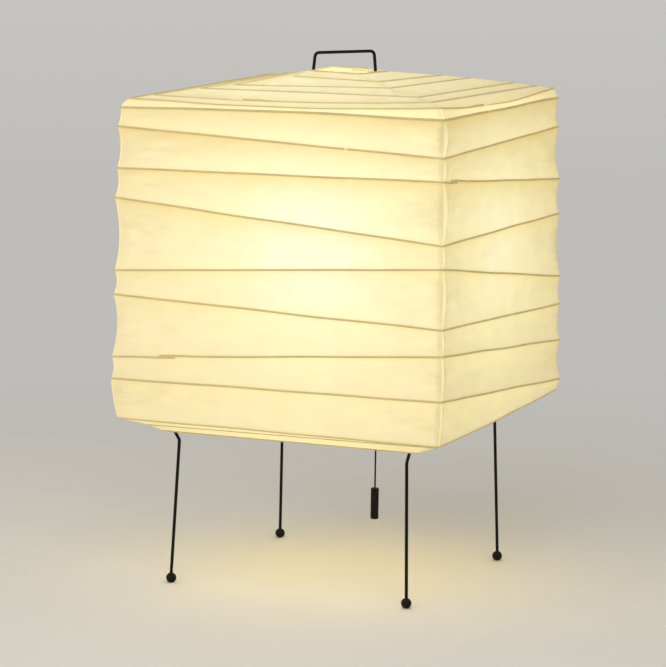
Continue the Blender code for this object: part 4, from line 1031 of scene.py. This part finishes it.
def stretcher_half(ring, upright, bar_height):
    """Upper part of one side of the stretcher: shoulder, cradle under the collar, bend of the handle."""
    seat = RIB_RADIUS + TOUCH_GAP + WIRE_RADIUS
    shoulder = arc((upright - seat, ring[1] - 2 * seat), seat, 0, 90, ARC_STEPS)
    cradle = arc(ring, seat, -90, -180, ARC_STEPS)
    foot = Vector((ring[0] - seat, 0, ring[1]))
    corner = Vector((foot.x - HANDLE_NARROWING, 0, bar_height))
    bend = fillet(foot, corner, Vector((0, 0, bar_height)), HANDLE_BEND_RADIUS)
    return shoulder + cradle + [(point.x, point.z) for point in bend]


def make_stretcher():
    """The wire that stands on the hub, props the collar up and ends in the handle."""
    collar = ribs["rib_collar"]
    left, right = [corner.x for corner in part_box("rib_collar")]
    shift = (left + right) / 2 * DIAGONAL
    ring = (((right - left) / 2 - RIB_RADIUS) * DIAGONAL - collar.retreat, collar.corners[0].z)
    low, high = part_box("stretcher")
    socket_low, socket_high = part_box("stretcher_socket_right")
    upright = (socket_low.x + socket_high.x) / 2 * DIAGONAL
    bar_height = high.z - WIRE_RADIUS
    left_half = stretcher_half(ring, upright, bar_height - 2 * HANDLE_TILT)
    right_half = stretcher_half(ring, upright, bar_height)
    line = [(-upright, low.z)] + [(shift - along, height) for along, height in left_half]
    line += [(shift + along, height) for along, height in reversed(right_half)] + [(upright, low.z)]
    points = [on_diagonal(CORNER_OUT[2], along, height) for along, height in line]
    data = curve_data("stretcher_wire", points, WIRE_RADIUS, WIRE_SIDES)
    add_slot_piece("stretcher_wire", data, "black_wire", ["stretcher"])


make_legs()
make_stretcher()


# Pull cord and its weight

def make_pull():
    """The cord with the cylinder on its end."""
    top = Vector(CORD_EXIT)
    points = [top - UP * (CORD_LENGTH * i / CORD_STEPS) for i in range(CORD_STEPS + 1)]
    data = curve_data("pull_cord_braid", points, CORD_DIAMETER / 2, CORD_SIDES)
    cord = add_slot_piece("pull_cord_braid", data, "black_cord", ["pull_cord"], "pull_cord")
    low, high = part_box("pull_weight")
    radius = (high.y - low.y) / 2
    soft = radius * WEIGHT_EDGE
    bore = CORD_DIAMETER / 2
    profile = [(0.0, high.z - soft), (bore, high.z - soft), (bore * WEIGHT_BORE_FLARE, high.z)]
    profile += arc((radius - soft, high.z - soft), soft, 90, 0, ARC_STEPS)
    profile += arc((radius - soft, low.z + soft), soft, 0, -90, ARC_STEPS) + [(0.0, low.z)]
    data = turned_data("pull_weight_cylinder", profile, Vector((top.x, top.y, 0)))
    weight = add_slot_piece("pull_weight_cylinder", data, "black_ball", ["pull_weight"], "pull_weight")


def make_spring():
    """The coil that the lever presses together, standing on the lampholder's floor."""
    low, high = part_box("return_spring")
    middle = (low + high) / 2
    radius = (high.x - low.x - SPRING_WIRE) / 2
    rise = (high.z - low.z - SPRING_WIRE) / (SPRING_TURNS * SPRING_STEPS)
    points = []
    for i in range(SPRING_TURNS * SPRING_STEPS + 1):
        angle = math.tau * i / SPRING_STEPS
        height = low.z + SPRING_WIRE / 2 + rise * i
        points.append((middle.x + radius * math.cos(angle), middle.y + radius * math.sin(angle), height))
    curve = curve_data("return_spring_coil", points, SPRING_WIRE / 2, SPRING_SIDES)
    coil = bpy.data.objects.new("return_spring_curve", curve)
    mesh = bpy.data.meshes.new_from_object(coil)
    bpy.data.objects.remove(coil)
    spring = add_slot_piece("return_spring_coil", mesh, "zinc_steel", ["return_spring"])
    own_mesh(spring)


make_pull()
make_spring()


# Nodes of the frame that stay

def dress_frame():
    """Every node that still shows gets its slot's material."""
    slots = {row["node"]: row["material_slot"] for row in frame["record"]["subparts"]}
    for name, node in frame["nodes"].items():
        node.material_slots[0].link = "OBJECT"
        node.material_slots[0].material = slot_materials[slots[name]]


dress_frame()


# Floor, background and light

FLOOR_RADIUS = 6.0
FLOOR_SEGMENTS = 96
FLOOR_CLOUD_SCALE = 6.0
FLOOR_CLOUD_SHADE = 0.97
FLOOR_COLOUR = (0.885, 0.86, 0.80, 1.0)
BACKDROP_COLOUR = (0.515, 0.508, 0.485, 1.0)
BACKDROP_TOP_COLOUR = (0.565, 0.555, 0.53, 1.0)
BACKDROP_RISE = (-0.07, 0.01)
FLOOR_FADE_START = 0.45
FLOOR_FADE_END = 1.5
SKY_STRENGTH = 0.48
SKY_COLOUR = (1.0, 0.99, 0.97, 1.0)
KEY_PLACE = (0.1, -1.7, 1.6)
KEY_POWER = 20.5
KEY_COLOUR = (1.0, 0.985, 0.97)
KEY_SIZE = 2.4
AIM = BULB_CENTRE * 0.8
BULB_POWER = 1.05
BULB_COLOUR = (1.0, 0.80, 0.44)
BULB_LIGHT_RADIUS = BULB_RADIUS * 1.12


def shown_rays(nodes):
    """1 for rays from the camera and for those seen in gloss or glass."""
    path = nodes.add("LightPath").outputs
    gloss = nodes.math("MAXIMUM", path["Is Glossy Ray"], path["Is Transmission Ray"])
    return nodes.math("MAXIMUM", path["Is Camera Ray"], gloss)


def make_floor():
    """A pale floor that keeps the lamp's pool of light and fades into the backdrop further out."""
    mesh = bpy.data.meshes.new("floor")
    work = bmesh.new()
    bmesh.ops.create_circle(work, cap_ends=True, radius=FLOOR_RADIUS, segments=FLOOR_SEGMENTS)
    work.to_mesh(mesh)
    work.free()
    floor = bpy.data.objects.new("floor", mesh)
    bpy.context.scene.collection.objects.link(floor)
    material, nodes, shader = start_material("floor", {"Roughness": 0.8, "Specular IOR Level": 0.1})
    place = nodes.add("TexCoord").outputs["Object"]
    soft = nodes.noise(place, FLOOR_CLOUD_SCALE)
    shaded = tuple(FLOOR_CLOUD_SHADE * value for value in FLOOR_COLOUR)
    nodes.put(shader.inputs["Base Color"], nodes.blend(soft, FLOOR_COLOUR, shaded))
    distance = nodes.add("VectorMath", {0: place}, operation="LENGTH").outputs["Value"]
    inputs = {"Value": distance, "From Min": FLOOR_FADE_START, "From Max": FLOOR_FADE_END}
    fade = nodes.add("MapRange", inputs, interpolation_type="SMOOTHSTEP").outputs["Result"]
    backdrop = nodes.add("Emission", {"Color": BACKDROP_COLOUR}).outputs[0]
    share = nodes.math("MULTIPLY", fade, shown_rays(nodes))
    mixed = nodes.add("MixShader", {0: share, 1: shader.outputs[0], 2: backdrop}).outputs[0]
    nodes.put(material.node_tree.nodes["Material Output"].inputs["Surface"], mixed)
    mesh.materials.append(material)


def make_world():
    """Soft even light, behind which the camera sees the plain backdrop."""
    world = bpy.data.worlds.new("studio")
    world.use_nodes = True
    bpy.context.scene.world = world
    nodes = Nodes(world.node_tree)
    light = world.node_tree.nodes["Background"]
    light.inputs["Color"].default_value = SKY_COLOUR
    light.inputs["Strength"].default_value = SKY_STRENGTH
    direction = nodes.add("TexCoord").outputs["Generated"]
    rise = nodes.add("SeparateXYZ", {"Vector": direction}).outputs["Z"]
    inputs = {"Value": rise, "From Min": BACKDROP_RISE[0], "From Max": BACKDROP_RISE[1]}
    share = nodes.add("MapRange", inputs).outputs["Result"]
    colour = nodes.blend(share, BACKDROP_COLOUR, BACKDROP_TOP_COLOUR)
    backdrop = nodes.add("Background", {"Color": colour, "Strength": 1.0}).outputs[0]
    mixed = nodes.add("MixShader", {0: shown_rays(nodes), 1: light.outputs[0], 2: backdrop}).outputs[0]
    nodes.put(world.node_tree.nodes["World Output"].inputs["Surface"], mixed)


def make_light(name, kind, place, power, colour, size):
    """A light, aimed at the lamp if it is a panel."""
    data = bpy.data.lights.new(name, kind)
    data.energy = power
    data.color = colour
    if kind == "AREA":
        data.size = size
    else:
        data.shadow_soft_size = size
    light = bpy.data.objects.new(name, data)
    bpy.context.scene.collection.objects.link(light)
    light.location = place
    light.rotation_mode = "QUATERNION"
    light.rotation_quaternion = (Vector(place) - AIM).to_track_quat("Z", "Y")


make_floor()
make_world()
make_light("key", "AREA", KEY_PLACE, KEY_POWER, KEY_COLOUR, KEY_SIZE)
make_light("bulb", "POINT", BULB_CENTRE, BULB_POWER, BULB_COLOUR, BULB_LIGHT_RADIUS)
bpy.context.scene.view_settings.view_transform = "Standard"
